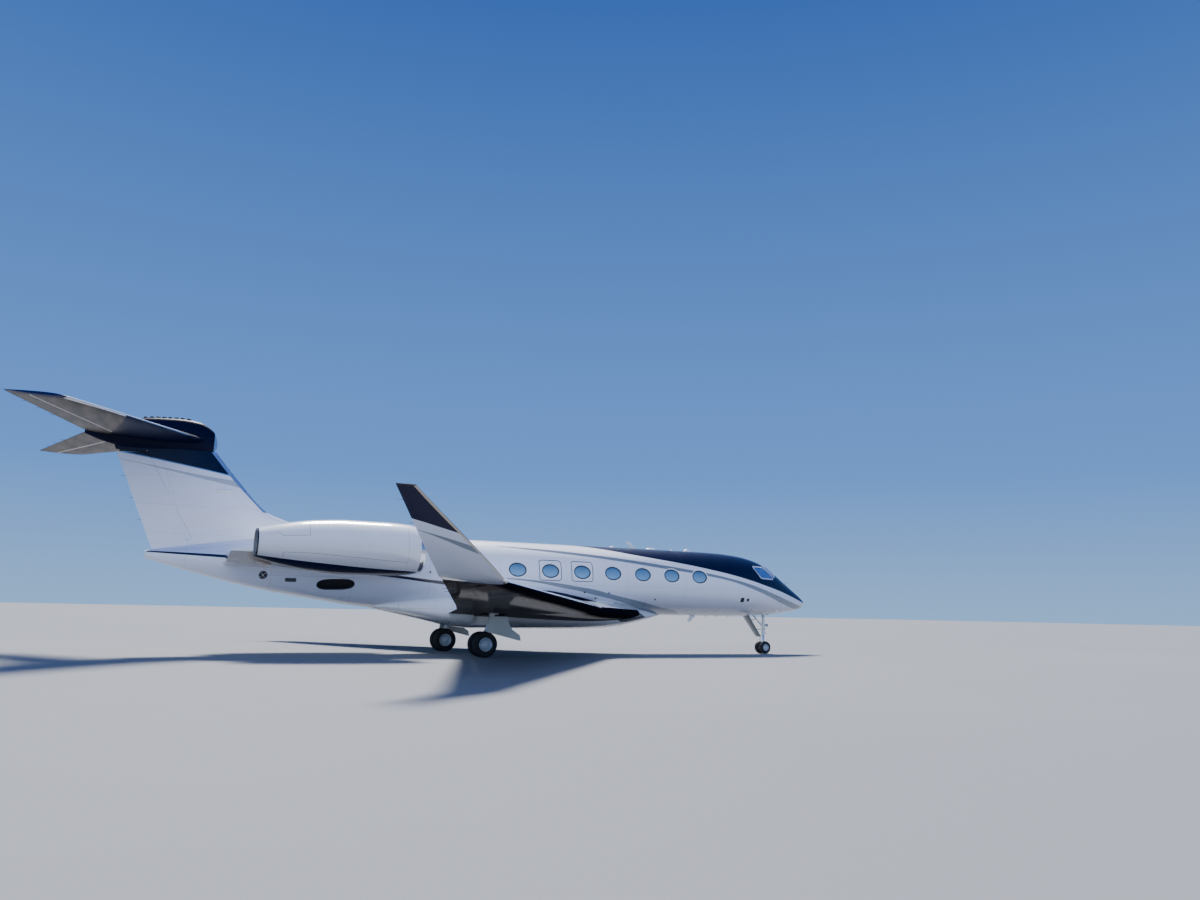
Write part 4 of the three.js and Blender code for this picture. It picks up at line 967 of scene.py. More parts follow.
RUDDER = side_plan([[25.387, 3.74], [26.942, 6.51], [28.4, 6.44], [27.2, 3.43]])
RUDDER_SLOT = side_plan([[25.387, 3.74], [26.953, 6.53], [28.4, 6.54], [27.2, 3.43]])
RUDDER_NOSE = 0.11
rudder_hinge = [[x, 0, z] for x, z in RUDDER[:2]]

BULLET = np.array([
    # station, crown, keel, half width
    [24.76, 7.08, 6.8, 0.06], [24.9, 7.4, 6.68, 0.15], [25.4, 7.68, 6.64, 0.235], [25.9, 7.73, 6.62, 0.255],
    [26.7, 7.7, 6.61, 0.255], [27.5, 7.57, 6.64, 0.225], [28.15, 7.37, 6.76, 0.16], [28.75, 7.12, 6.98, 0.03],
])
BULLET_NOSE, BLUNT = 24.8, 0.04
bullet_crown, bullet_keel, bullet_half = (curve(BULLET, column) for column in (1, 2, 3))


def bullet_skin(station, angle, out=0.0):
    """An ellipse at each station, shrunk to a quarter-round over the last 40 mm at the front."""
    top, bottom = bullet_crown(station) + out, bullet_keel(station) - out
    ahead = BULLET_NOSE - np.minimum(station, BULLET_NOSE)
    shrink = np.sqrt(np.clip(1 - (ahead / BLUNT) ** 2, 0, 1))
    wide = (bullet_half(station) + out) * shrink
    z = (top + bottom) / 2 + (top - bottom) / 2 * shrink * np.cos(angle)
    return pack(at(station), wide * np.sin(angle), z)


def bullet_place(p):
    """The station and angle of points on the bullet."""
    station = NOSE_X - p[:, 0]
    top, bottom = bullet_crown(station), bullet_keel(station)
    rise = (p[:, 2] - (top + bottom) / 2) / (top - bottom) * 2
    return station, np.arctan2(p[:, 1] / bullet_half(station), rise)


def bullet_part(out=0.0):
    """The bullet as one closed solid."""
    nose = BULLET_NOSE - BLUNT * np.cos(np.linspace(0, np.pi / 2, 8))
    rows = np.concatenate([nose, np.linspace(24.82, BULLET[-1, 0], 70)])
    return closed(bullet_skin(rows[:, None], ring, out))


FIN_NAVY = [[-14.0, 6.72], [-12.5, 6.468], [-11.58, 6.335], [-10.66, 6.187], [-9.72, 6.035], [-9.04, 5.925],
            [-7.5, 5.68]]
FIN_STRIPE_TOP = [[-13.4, 6.36], [-12.06, 6.19], [-11.25, 6.067], [-10.33, 5.935], [-9.54, 5.84],
                  [-8.5, 5.73]]
FIN_STRIPE_FOOT = [[-13.4, 6.358], [-12.06, 6.168], [-11.25, 6.019], [-10.32, 5.836], [-9.53, 5.688],
                   [-8.5, 5.51]]
FIN_NOSE = [[row[0], at(row[1])] for row in FIN[3:]]
f = Finish("fin_paint", **GLOSS)
fin_line = f.line(f.x, FIN_NAVY)
fin_top = f.z.above(fin_line)
fin_navy = f.z.above(fin_line + 0.035) | f.z.above(6.515, 0.002)
# The bare leading edge is tinted blue: a painted sky reflection on the metal.
fin_bare_sky_edge = (f.line(f.z, FIN_NOSE) - f.x).seam(0.17, 0.004) * f.z.above(4.76, 0.004)
fin_seams = ((f.z - 3.9).every(0.47).seam() | abs(f.x + 8.9 + f.z * 0.36).seam()) * (1 - fin_bare_sky_edge)
# The white goes lavender towards the top: painted shade lit by the sky.
fin_coat = f.mix(f.z.above(5.2, 3.0), shade(f, "eceef8"), "ccd3ea")
fin_coat = f.layers(fin_coat, (f.band(FIN_STRIPE_FOOT, FIN_STRIPE_TOP), "a3adbb"), (fin_top, "5f83b5"),
                    (fin_navy, NAVY), (fin_bare_sky_edge, "7d9dca"), (fin_seams * 0.4, GROOVE))
fin_paint = f.finish(fin_coat, 0.22 + f.noise(2.0, 5.0) * 0.1, fin_seams * -1, 0.0012,
                     Metallic=fin_bare_sky_edge * 0.5, Coat_Weight=1 - fin_top * 0.85)

fin = solid("fin_skin", [fin_part()])
cut(fin, strip_tool(RUDDER_SLOT, "y", -1, 1, rudder_hinge, RUDDER_NOSE, CLEAR, 0.03), overlap=True)
cut(fin, [hull_tool])
cut(fin, [bullet_part(FIT)])
dress(fin, fin_paint, replaces=["fin"])
true_normals(fin, fin_skin, fin_place)
rudder = solid("rudder_skin", [fin_part()])
cut(rudder, strip_tool(RUDDER, "y", -1, 1, rudder_hinge, RUDDER_NOSE), "INTERSECT", overlap=True)
cut(rudder, [bullet_part(FIT)])
dress(rudder, fin_paint, "rudder", ["rudder"])
true_normals(rudder, fin_skin, fin_place)
GAP_SEAL = side_plan([[26.86, 6.522], [27.7, 6.486], [27.7, 6.56], [26.86, 6.56]])
dress(solid("rudder_gap_seal", [prism(GAP_SEAL, "y", -0.004, 0.004)]), seal)

# Tailplane, elevators and bullet: the tailplane is one box from tip to tip on a pivot in the fin, inside a
# navy composite bullet. Bare leading edges keep it free of ice, and each elevator has a row of hinges.

TAIL_Z = 7.06
TAIL = np.array([
    # y, z, leading edge, chord, thickness, twist, tilt, camber
    [y, TAIL_Z, le, chord, thick, 0, 0, 0] for y, le, chord, thick in (
        (-5.6, 29.1, 1.32, 0.06), (-5.35, 28.87, 1.5, 0.09), (0, 25.05, 3.64, 0.095),
        (5.35, 28.87, 1.5, 0.09), (5.6, 29.1, 1.32, 0.06))
])
ELEVATOR = plan([[27.777, 0.3], [29.64, 4.85], [30.4, 4.539], [29.4, 0.3]])
ELEVATOR_SLOT = ELEVATOR[:3] + plan([[29.4, -0.06]])
ELEVATOR_NOSE = 0.105
elevator_hinge = [[x, y, TAIL_Z] for x, y in ELEVATOR[:2]]


def tail_part(out=0.0):
    """The tailplane and its elevators as one closed solid, before they are cut apart."""
    rows = np.array([0, 0.5, 1, 1.25, 1.5, 1.75, 2, 2.25, 2.5, 2.75, 3, 3.5, 4])[:, None]
    return closed(foil(TAIL, rows, SECTION[None, :], out))


TAIL_NOSE = [[0, at(25.05)], [5.35, at(28.87)], [5.7, at(29.19)]]
TAIL_RIBS, TIP_BAND, BARE_EDGE = 0.45, 5.44, 0.11
f = Finish("tailplane_paint", **GLOSS)
span = abs(f.y)
bare = (f.line(span, TAIL_NOSE) - f.x).seam(BARE_EDGE, 0.004)
seams = span.every(TAIL_RIBS).seam() * (1 - bare)
coat = f.layers(shade(f, WHITE), (seams * 0.5, GROOVE), (bare, "dcdee2"), (span.above(TIP_BAND, 0.01), NAVY))
tail_paint = f.finish(coat, 0.2 + f.noise(2.4, 5.0) * 0.12, seams * -1, 0.0012, Metallic=bare)
f = Finish("tailplane_lower_skin", Specular_IOR_Level=0.12)
span = abs(f.y)
seams = span.every(TAIL_RIBS).seam()
bare = (f.line(span, TAIL_NOSE) - f.x).seam(BARE_EDGE, 0.004)
root, tip_band = f.x.above(span * 0.15 - 12.86, 0.02), span.above(TIP_BAND, 0.01)
# A pale band along the shroud ahead of the elevators: a painted highlight.
shroud_highlight = at(27.777) - (span - 0.3) * 0.4095 - root * 9 - f.x
# Dark tan-grey streaks over the underside: painted ground reflection.
coat = f.mix(f.noise(0.7, 5.0, (5, 0.8, 1)).above(0.5, 0.3), "2a2624", "5f554e")
coat = f.layers(coat, (seams * 0.5, GROOVE), (bare, "dcdee2"), (root, NAVY),
                (shroud_highlight.within(-0.075, -0.015), "d3cdc8"), (tip_band, "101a48"))
tail_lower = f.finish(coat, 0.32 + f.noise(2.4, 5.0) * 0.1, seams * -1, 0.0012,
                      Metallic=bare * (1 - root) * (1 - tip_band))


def dress_tail(obj, body, replaces, side=1):
    """A tailplane piece: white paint above, and below a dark tan-grey painted reflection of the ground."""
    dress(obj, tail_paint, body, replaces)
    other_materials(obj, [tail_lower], face_arrays(obj.data)[0][:, 2] < 0.05)
    true_normals(obj, lambda u, v: foil(TAIL, u, v), foil_place(TAIL), side)


slot_room = strip_tool(ELEVATOR_SLOT, "z", 6, 8, elevator_hinge, ELEVATOR_NOSE, CLEAR, 0.03)
tailplane = solid("tailplane_skin", [tail_part()])
for side in (1, -1):
    cut(tailplane, slot_room, side=side, overlap=True)
dress_tail(tailplane, "airframe", ["tailplane"])
for side, word in SIDES:
    elevator = solid("elevator_skin_" + word, [tail_part()], side)
    elevator_tool = strip_tool(ELEVATOR, "z", 6, 8, elevator_hinge, ELEVATOR_NOSE)
    cut(elevator, elevator_tool, "INTERSECT", side, overlap=True)
    dress_tail(elevator, "elevator_" + word, ["elevator_" + word], side)

f = Finish("navy_paint", Specular_IOR_Level=0.1)
seams = abs(f.z - 7.14).seam() | (f.x - 0.2).every(0.8).seam()
bullet_nose = f.x.above(at(24.87), 0.01) * (1 - f.z.above(7.4, 0.02))
coat = f.layers(shade(f, NAVY, 0.3), (bullet_nose, "5f83b5"), (seams * 0.5, "20263a"))
navy_paint = f.finish(coat, 0.36 + f.noise(3.0, 4.0) * 0.1, seams * -1)
bullet = solid("bullet_shell", [bullet_part()])
cut(bullet, [tail_part(FIT)])
dress(bullet, navy_paint, replaces=["tail_bullet"])
true_normals(bullet, bullet_skin, bullet_place)

# Vortex blades: a row of small fixed blades of black composite, screwed to the bullet's crown one behind the
# other.

def fin_blade(foot, chord, height, sweep, thick, normal=(0, 0, 1), top_share=0.55):
    """A small swept blade: an ellipse-nosed section that shrinks towards its top and leans back."""
    t = np.linspace(0, 1, 9)[:, None]
    a = circle(20)[None, :]
    share = 1 - (1 - top_share) * t - top_share * np.clip((t - 0.88) / 0.12, 0, 1) ** 3 * 0.6
    x = -sweep * t + share * chord / 2 * np.cos(a)
    y = share * thick / 2 * np.sin(a) * (1 + 0.35 * np.cos(a))
    points = pack(x, y, height * t)
    up = np.asarray(normal, float) / np.linalg.norm(normal)
    across = np.cross(up, (1.0, 0, 0))
    return closed(np.asarray(foot) + points @ np.stack([(1, 0, 0), across, up]))


blades = []
for x in np.linspace(-11.8, -10.5, 8):
    crown_z = float(bullet_crown(NOSE_X - x + 0.06)) - 0.03
    blades.append(fin_blade((x, 0, crown_z), 0.15, 0.085, 0.02, 0.03, top_share=0.92))
dress(solid("bullet_crown_blades", blades), seal)

# Engines: each nacelle is a composite cowl with a bare metal intake lip, hung on a pylon at the side of the
# fuselage. Inside are the fan with its spinner, the dark core on four struts, and the exhaust nozzle.

ENGINE_Y, ENGINE_Z = 2.5, 3.57
INTAKE, NOZZLE = 18.29, 23.56
COWL = np.array([[INTAKE, 0.77], [18.7, 0.85], [19.5, 0.888], [20.7, 0.888], [21.8, 0.82], [22.8, 0.66],
                 [NOZZLE, 0.465]])
DUCT = np.array([[INTAKE, 0.645], [18.7, 0.63], [21.4, 0.64], [22.6, 0.54], [NOZZLE, 0.44]])
CORE = np.array([[19.64, 0.33], [20.3, 0.43], [21.6, 0.42], [22.4, 0.33], [22.9, 0.12], [23.19, 0.012]])
LIP = {"radius": 0.7075, "height": 0.0625, "reach": 0.09}


def turned(outline, sides=96, loop=False):
    """An outline of [station, radius] carried round the engine's axis."""
    station, radius = np.asarray(outline, float).T[:, :, None]
    a = circle(sides)[None, :]
    points = pack(at(station), ENGINE_Y + radius * np.sin(a), ENGINE_Z + radius * np.cos(a))
    return grid(points, loop=True) if loop else closed(points)


def along(table, start, end, count):
    """Points on the smooth curve through a table's first two columns."""
    s = np.linspace(start, end, count)
    return np.stack([s, curve(table, 1)(s)], -1)


lip_turn = np.linspace(0, np.pi, 24)[1:-1]
lip_points = np.stack([INTAKE - LIP["reach"] * np.sin(lip_turn),
                       LIP["radius"] + LIP["height"] * np.cos(lip_turn)], -1)
cowl_outline = np.concatenate([along(COWL, NOZZLE, INTAKE, 60), lip_points, along(DUCT, INTAKE, NOZZLE, 50)])
cowl_plug = turned(along(COWL + (0, FIT), NOZZLE + 0.001, INTAKE + 0.001, 60))

COWL_NAVY = [[-9.0, 3.24], [-8.31, 3.172], [-7.32, 3.068], [-5.78, 2.943], [-4.48, 2.87], [-3.37, 2.835],
             [-2.6, 2.82]]
LATCH_SEAMS = [  # from x, z to x, z
    (-7.793, 3.924, -7.548, 3.784), (-7.593, 3.798, -6.79, 3.842), (-7.55, 3.284, -6.804, 3.286),
    (-6.804, 3.286, -3.62, 3.1),
]
f = Finish("nacelle_paint", **GLOSS)
cowl_navy = 1 - f.z.above(f.line(f.x, COWL_NAVY))
seams = abs(f.x + 3.62).seam(0.004)
for low, foot, high, head in LATCH_SEAMS:
    lift = f.z - foot - (f.x - low) * ((head - foot) / (high - low))
    seams = seams | abs(lift).seam(0.006, 0.003) * f.x.within(low, high)
for place, low, high in ((-6.79, 3.83, 4.26), (-7.55, 3.14, 3.29)):
    seams = seams | abs(f.x - place).seam(0.006, 0.003) * f.z.within(low, high)
lip_bare = f.x.above(at(18.4), 0.004)
# The cowl turns grey below its axis: painted shade.
coat = f.layers(shade(f, WHITE), (1 - f.z.above(3.6, 0.9), "b4b7c0"), (cowl_navy, NAVY),
                (seams * 0.8, GROOVE), (1 - f.x.above(at(23.5), 0.004), "24262b"), (lip_bare, "c3c5ca"))
nacelle_paint = f.finish(coat, 0.2 + f.noise(2.6, 5.0) * 0.1, seams * -1, 0.0012, Metallic=lip_bare,
                         Coat_Weight=1 - cowl_navy * 0.85)
dark = plain("dark_duct", ("08090b", "1d1f23", 7, 4.0), (0.55, 0.2, 30), (1, 90), 0.0008)
f = Finish("duct_liner", Metallic=0.3)
holes = (f.x.every(0.006) + (f.y * 4).every(0.006)).above(0.007, 0.002)
duct_liner = f.finish(f.mix(holes, "a3a7ae", "74777d"), 0.4 + f.noise(6) * 0.15, holes * -1, 0.0006)
BRUSHED = (0.2, 1, 1)
fan_metal = plain("blade_titanium", ("a4a8b0", 0.3), (0.28, 0.15, 30, 3.0, (1, 6, 6)),
                  (1, 160, 1.0, BRUSHED), 0.0002, Metallic=1.0)
hot_metal = plain("heat_tinted_metal", ("4a4038", "7b7168", 2.5, 4.0), (0.35, 0.2, 9, 3.0),
                  (1, 90, 1.0, BRUSHED), 0.0004, Metallic=1.0)

FAN = {"station": 19.39, "tip": 0.612, "root": 0.185, "blades": 14}
SPINNER = np.array([[19.03, 0.001], [19.08, 0.09], [19.3, 0.2], [19.48, 0.21]])


def spoke(turn, x, side, reach):
    """A closed part standing out from the engine's axis: x, sideways and outwards, turned about it."""
    y, z = -side * np.cos(turn) + reach * np.sin(turn), side * np.sin(turn) + reach * np.cos(turn)
    return closed(pack(x, ENGINE_Y + y, ENGINE_Z + z))


def blade(turn):
    """A fan blade: a cambered oval carried out along a radius, turning from 24 to 60 degrees on the way."""
    t = np.linspace(0, 1, 16)[:, None]
    a = circle(24)[None, :]
    chord = 0.17 + 0.09 * np.sin(np.pi * 0.62 * t)
    c = 0.5 * np.cos(a)
    thick = (0.5 * np.sin(a) * (0.022 - 0.014 * t) + 0.03 * (0.25 - c ** 2) * (1 - t) * chord)
    pitch = np.radians(24 + 36 * t)
    x = at(FAN["station"]) + chord * c * np.cos(pitch) - thick * np.sin(pitch) - 0.02 * np.sin(np.pi * t)
    side = chord * c * np.sin(pitch) + thick * np.cos(pitch)
    reach = FAN["root"] + (FAN["tip"] - FAN["root"]) * t
    return spoke(turn, x, side, np.sqrt(np.maximum(reach ** 2 - side ** 2 * (t > 0.5), 0)))


def strut(turn, front, back, inner, outer, thick):
    """A fixed vane between two radii: a long ellipse, pushed out along its radius."""
    a = circle(24)[None, :]
    reach = np.linspace(inner, outer, 3)[:, None]
    x = at((front + back) / 2) + (back - front) / 2 * np.cos(a)
    return spoke(turn, x, thick / 2 * np.sin(a), reach)


PYLON = side_plan([[18.75, 2.86], [18.64, 2.96], [18.9, 3.11], [20.5, 3.31], [23.3, 3.39], [24.18, 3.4],
                   [24.33, 2.96], [22.6, 2.86], [20.3, 2.74]])
f = Finish("pylon_paint", **GLOSS)
bare, seams = 1 - f.x.above(at(22.95), 0.004), (f.x - 0.1).every(0.6).seam()
# Grey towards the foot, painted shade. The bare aft end is tan, with the white kept along its top as a
# painted highlight.
coat = f.layers(shade(f, WHITE), (1 - f.z.above(3.08, 0.3), "b9bec7"),
                (bare * (1 - f.z.above(3.33, 0.03)), "958c85"), (seams * 0.6, GROOVE))
pylon_paint = f.finish(coat, 0.22 + f.noise(3.0, 4.0) * 0.1, seams * -1, Metallic=bare * 0.2)

for side, word in SIDES:
    nacelle = solid("nacelle_cowl_" + word, [turned(cowl_outline, loop=True)], side)
    dress(nacelle, nacelle_paint, replaces=["nacelle_" + word])
    normals, centres, _ = face_arrays(nacelle.data)
    outward = ((centres - (0, side * ENGINE_Y, ENGINE_Z)) * normals)[:, 1:].sum(1)
    other_materials(nacelle, [duct_liner], (outward < 0) & (centres[:, 0] < at(18.42)))
    core = [turned(along(CORE, *CORE[[0, -1], 0], 60))]
    core += [strut(turn, 20.3, 21.5, 0.38, 0.632, 0.05) for turn in np.arange(4) * np.pi / 2]
    dress(solid("engine_core_body_" + word, core, side), hot_metal,
          replaces=["engine_core_" + word])
    vanes = [strut(turn, 19.72, 19.86, 0.34, 0.632, 0.012) for turn in np.arange(28) * np.pi / 14]
    dress(solid("fan_exit_vanes_" + word, vanes, side), fan_metal)
    blades = [blade(turn) for turn in np.arange(FAN["blades"]) * 2 * np.pi / FAN["blades"]]
    dress(solid("fan_blades_" + word, blades, side), fan_metal, "fan_" + word, ["fan_" + word])
    spinner = turned(along(SPINNER, *SPINNER[[0, -1], 0], 24), 48)
    dress(solid("fan_spinner_" + word, [spinner], side), dark, "fan_" + word)
    outline = rounded(PYLON, 0.09)
    rows = np.stack([np.insert(outline, 1, y, axis=1) + (0, 0, -0.03 * (1.9 - y) / 1.4) for y in (0.5, 1.9)])
    pylon = solid("pylon_beam_" + word, [closed(rows)], side)
    cut(pylon, [hull_tool])
    cut(pylon, [cowl_plug], side=side)
    dress(pylon, pylon_paint, replaces=["pylon_" + word], sharp=50)

# Entry door: part of the fuselage skin with its own frames, hinged at the sill. Stairs are built on its
# inside, and lie level when it hangs open. The baggage door swings down the same way.

def dress_door(obj, body, node, depth):
    """A door's skin: the fuselage's paint outside, the lining inside and a seal on its edges."""
    dress(obj, body_paint, body, [node])
    line_inside(obj, depth)
    true_normals(obj, hull, hull_place)


door = solid("entry_door_skin", [barrel(3.7, 5.4, depth=0.08)])
cut(door, [door_tool(0)], "INTERSECT")
dress_door(door, "entry_door", "entry_door", 0.08)
hatch = solid("baggage_door_skin", [barrel(19, 20.7, depth=0.06)])
cut(hatch, [baggage_tool(0)], "INTERSECT")
dress_door(hatch, "baggage_door", "baggage_door", 0.06)

STAIR = {"count": 6, "first": 0.15, "pitch": 0.25, "tread": 0.04, "depth": 0.23, "inset": 0.09}
treads, grips, rails = [], [], []
step_x = at(DOOR["back"] - STAIR["inset"]), at(DOOR["front"] + STAIR["inset"])
for i in range(STAIR["count"]):
    low = DOOR["sill"] + STAIR["first"] + i * STAIR["pitch"]
    root = min(float(side_skin(step_x[1], z)[1]) for z in (low, low + STAIR["tread"])) - 0.05
    tread = [[root, low], [root - STAIR["depth"], low + STAIR["depth"]],
             [root - STAIR["depth"], low + STAIR["depth"] + STAIR["tread"]], [root, low + STAIR["tread"]]]
    treads.append(prism(rounded(tread, 0.012, 4), "x", *step_x))
    for share in (0.12, 0.3, 0.48, 0.66, 0.84):
        y, z = root - STAIR["depth"] * share, low + STAIR["depth"] * share - 0.001
        grips.append(rod((step_x[0] + 0.03, y, z), (step_x[1] - 0.03, y, z), 0.006, sides=8))
for x in (step_x[0] - 0.012, step_x[1] + 0.012):
    z = np.linspace(DOOR["sill"] + 0.1, 3.72, 24)
    edge = side_skin(x, z)[:, 1]
    plate = np.concatenate([np.stack([edge - 0.06, z], -1), np.stack([edge - 0.16, z], -1)[::-1]])
    treads.append(prism(plate, "x", x - 0.012, x + 0.012))
    for start, end in ((2.25, 3.1), (3.1, 3.6)):
        points = [side_skin(x, z)[1] - 0.24 for z in (start, end)]
        rails.append(rod((x, points[0], start), (x, points[1], end), 0.014, sides=16))
    for z in (2.25, 3.1, 3.6):
        y = float(side_skin(x, z)[1])
        rails.append(rod((x, y - 0.1, z), (x, y - 0.25, z), 0.011, sides=12))
polished = plain("polished_metal", (STEEL, 0.12), (0.14, 0.14, 5, 4.0, (1, 1, 4)), (1, 220, 1.0, BRUSHED),
                 0.0002, Metallic=1.0)
gear_paint = plain("gear_enamel", ("b9bfc6", "dfe2e6", 12, 4.0), (0.38, 0.15, 7, 3.0), (0.3, 240, 1.0),
                   0.0003, Coat_Weight=0.6, Coat_Roughness=0.15)
dress(solid("entry_stairs", treads), gear_paint, "entry_door")
dress(solid("entry_stair_grips", grips), seal, "entry_door")
dress(solid("entry_stair_rails", rails), polished, "entry_door")

# Main gear: a welded steel leg with a chromed sliding tube, torque links behind it and a folding side brace.
# A composite door hangs on its outboard side, and closes the well when the leg is up.

MAIN = {"axle": np.array([at(15.81), 2.33, 0.4395]), "tyre": 0.4395, "width": 0.28, "spacing": 0.5,
        "rim": 0.225, "spindle": 0.048}
LEG_TOP = np.array([at(15.45), 2.33, 1.56])
chrome = plain("chromed_tube", ("e2e4e8", 0.08), (0.06, 0.06, 20), Metallic=1.0)
gear_door_paint = plain("gear_door_paint", ("a3b0b4", 0.15), (0.2, 0.1, 6, 4.0), (0.1, 60), 0.0005, **GLOSS)


def leg_point(share):
    """A point on the main leg's line: 0 is its top, and 1 is the axle."""
    return LEG_TOP + (MAIN["axle"] - LEG_TOP) * share


def fork_link(start, end, wide_start, wide_end, radius):
    """A torque link seen from above as a letter A: two tapered bars and the pins at its ends."""
    across = np.array((0, 1.0, 0))
    bars = [rod(start + across * wide_start * s, end + across * wide_end * s, radius, radius * 0.8, 14)
            for s in (1, -1)]
    pins = [rod(p - across * (wide + radius), p + across * (wide + radius), radius * 0.75, sides=14)
            for p, wide in ((start, wide_start), (end, wide_end))]
    web = (start + end) / 2
    bridge = rod(web - across * wide_start * 0.6, web + across * wide_start * 0.6, radius * 0.7, sides=12)
    return bars + pins + [bridge]


def sleeve(centre, reach, outer, inner, axis=(0, 1.0, 0)):
    """A short tube about an axle: a round-edged outer wall and a straight bore."""
    steps = [(-reach, inner), (-reach, outer - 0.008), (-reach + 0.008, outer), (reach - 0.008, outer),
             (reach, outer - 0.008), (reach, inner)]
    a = circle(40)
    axis = np.asarray(axis)
    other = np.array((1.0, 0, 0)) if abs(axis[0]) < 0.5 else np.array((0, 0, 1.0))
    third = np.cross(axis, other)
    round_it = other * np.cos(a)[:, None] + third * np.sin(a)[:, None]
    return grid(np.stack([centre + axis * t + r * round_it for t, r in steps]), loop=True)


across = np.array((0, 1.0, 0))
knee = leg_point(0.78) - (0.26, 0, 0)
axle_bore = rod(MAIN["axle"] - across * 0.2, MAIN["axle"] + across * 0.2, MAIN["spindle"] + 0.008, bevel=0)
brace_top = LEG_TOP + (0.04, -0.37, -0.06)
brace_middle = (leg_point(0.5) + brace_top) / 2
leg_parts = [
    rod(LEG_TOP, leg_point(0.60), 0.088, sides=48), rod(leg_point(0.57), leg_point(0.625), 0.1, sides=48),
    rod(leg_point(0.3), leg_point(0.34), 0.1, sides=48), rod(leg_point(0.12), leg_point(0.16), 0.1, sides=48),
    rod((LEG_TOP[0], WELL["inner"] + FIT, 1.53), (LEG_TOP[0], WELL["outer"] - FIT, 1.53), 0.055, sides=36),
    rod((LEG_TOP[0], 2.2, 1.53), (LEG_TOP[0], 2.46, 1.53), 0.085, sides=36),
    rod(leg_point(0.5), brace_middle, 0.036, 0.03), rod(brace_middle, brace_top, 0.032, 0.04),
    rod(brace_middle - (0.05, 0, 0), brace_middle + (0.05, 0, 0), 0.035),
    rod(leg_point(0.88), leg_point(0.96), 0.078, sides=40), sleeve(MAIN["axle"], 0.088, 0.095, 0.056),
]
leg_parts += fork_link(leg_point(0.58) - (0.05, 0, 0), knee, 0.07, 0.025, 0.024)
leg_parts += fork_link(leg_point(0.92) - (0.02, 0, 0), knee, 0.07, 0.05, 0.024)
pipes = [rod(leg_point(a) + (0.1, y, 0), leg_point(b) + (0.1, y, 0), 0.008, sides=10)
         for a, b, y in ((0.05, 0.6, 0.02), (0.05, 0.6, -0.02), (0.62, 0.9, 0.03), (0.62, 0.9, -0.03))]
clips = [rod(leg_point(t) + (0.05, -0.04, 0), leg_point(t) + (0.112, -0.04, 0), 0.012, sides=10)
         for t in (0.14, 0.32, 0.6)]
LEG_DOOR = side_plan([[15.06, 1.4], [15.76, 1.4], [15.83, 0.87], [14.57, 0.57], [14.61, 0.77], [14.9, 0.96],
                      [15.07, 1.23]])
link = leg_point(0.32)
for side, word in SIDES:
    leg = solid("main_leg_casting_" + word, leg_parts, side)
    dress(leg, gear_paint, replaces=["main_leg_" + word])
    piston = solid("main_leg_tube_" + word, [rod(leg_point(0.56), leg_point(0.98), 0.062, sides=48)], side)
    cut(piston, [axle_bore], side=side)
    dress(piston, chrome)
    dress(solid("main_brake_pipes_" + word, pipes + clips, side), seal)
    brakes = [sleeve(MAIN["axle"] + across * s, 0.05, 0.178, 0.058) for s in (0.185, -0.185)]
    brakes += [rod(MAIN["axle"] + (0.13 * math.cos(a), s - 0.07 * np.sign(s), 0.13 * math.sin(a)),
                   MAIN["axle"] + (0.13 * math.cos(a), s, 0.13 * math.sin(a)), 0.026, sides=16)
               for s in (0.19, -0.19) for a in np.arange(6) * math.pi / 3]
    dress(solid("main_brakes_" + word, brakes, side), hot_metal)
    plate = [prism(rounded(LEG_DOOR, 0.03), "y", 2.8, 2.83)]
    plate.append(rod((link[0], 2.43, link[2]), (link[0], 2.802, link[2]), 0.03))
    plate += [rod((x, 2.79, 1.36), (x - 0.02, 2.79, 1.36 - 0.36), 0.014, sides=12) for x in (-0.15, -0.4)]
    dress(solid("main_leg_door_panel_" + word, plate, side), gear_door_paint,
          replaces=["main_leg_door_" + word])

# Wheels: forged alloy, in pairs on one axle, with slots that cool the brakes. The tyres are plain ribbed
# rubber, worn smooth on the ribs, and stand on the ground.

tyre_rubber = plain("tyre_rubber", ("0f1012", "2b2b2c", 9, 5.0), (0.6, 0.25, 9, 5.0), (0.4, 190, 3.0), 0.0008)
wheel_alloy = plain("wheel_alloy", ("a3b2c2", "ccd5de", 14, 5.0), (0.3, 0.2, 14, 5.0), (0.5, 14, 5.0), 0.0004,
                    Metallic=0.55, Coat_Weight=0.4, Coat_Roughness=0.2)


def spun(profile, centre, sides=96, loop=True):
    """A profile of [radius, distance along the axle] carried round an axle that lies across the aircraft."""
    radius, y = np.asarray(profile, float).T[:, :, None]
    a = circle(sides)[None, :]
    points = pack(radius * np.cos(a), y, radius * np.sin(a)) + centre
    return grid(points, loop=True) if loop else closed(points)


def tyre(leg, y):
    """A squarish oval section between the bead and the tread, with four straight grooves in the tread."""
    a = circle(132)
    bead, top, wide = leg["rim"] + FIT, leg["tyre"], leg["width"] / 2
    c, s = np.cos(a), np.sin(a)
    along_axle = wide * np.sign(c) * np.abs(c) ** 0.62
    radius = (bead + top) / 2 + (top - bead) / 2 * np.sign(s) * np.abs(s) ** 0.72
    groove = np.abs(np.abs(np.abs(along_axle) - 0.29 * wide) - 0.145 * wide) < 0.035 * wide
    radius = radius - np.where((s > 0.5) & groove, 0.018 * top, 0)
    return spun(np.stack([radius, along_axle + y], -1), leg["axle"], 112)


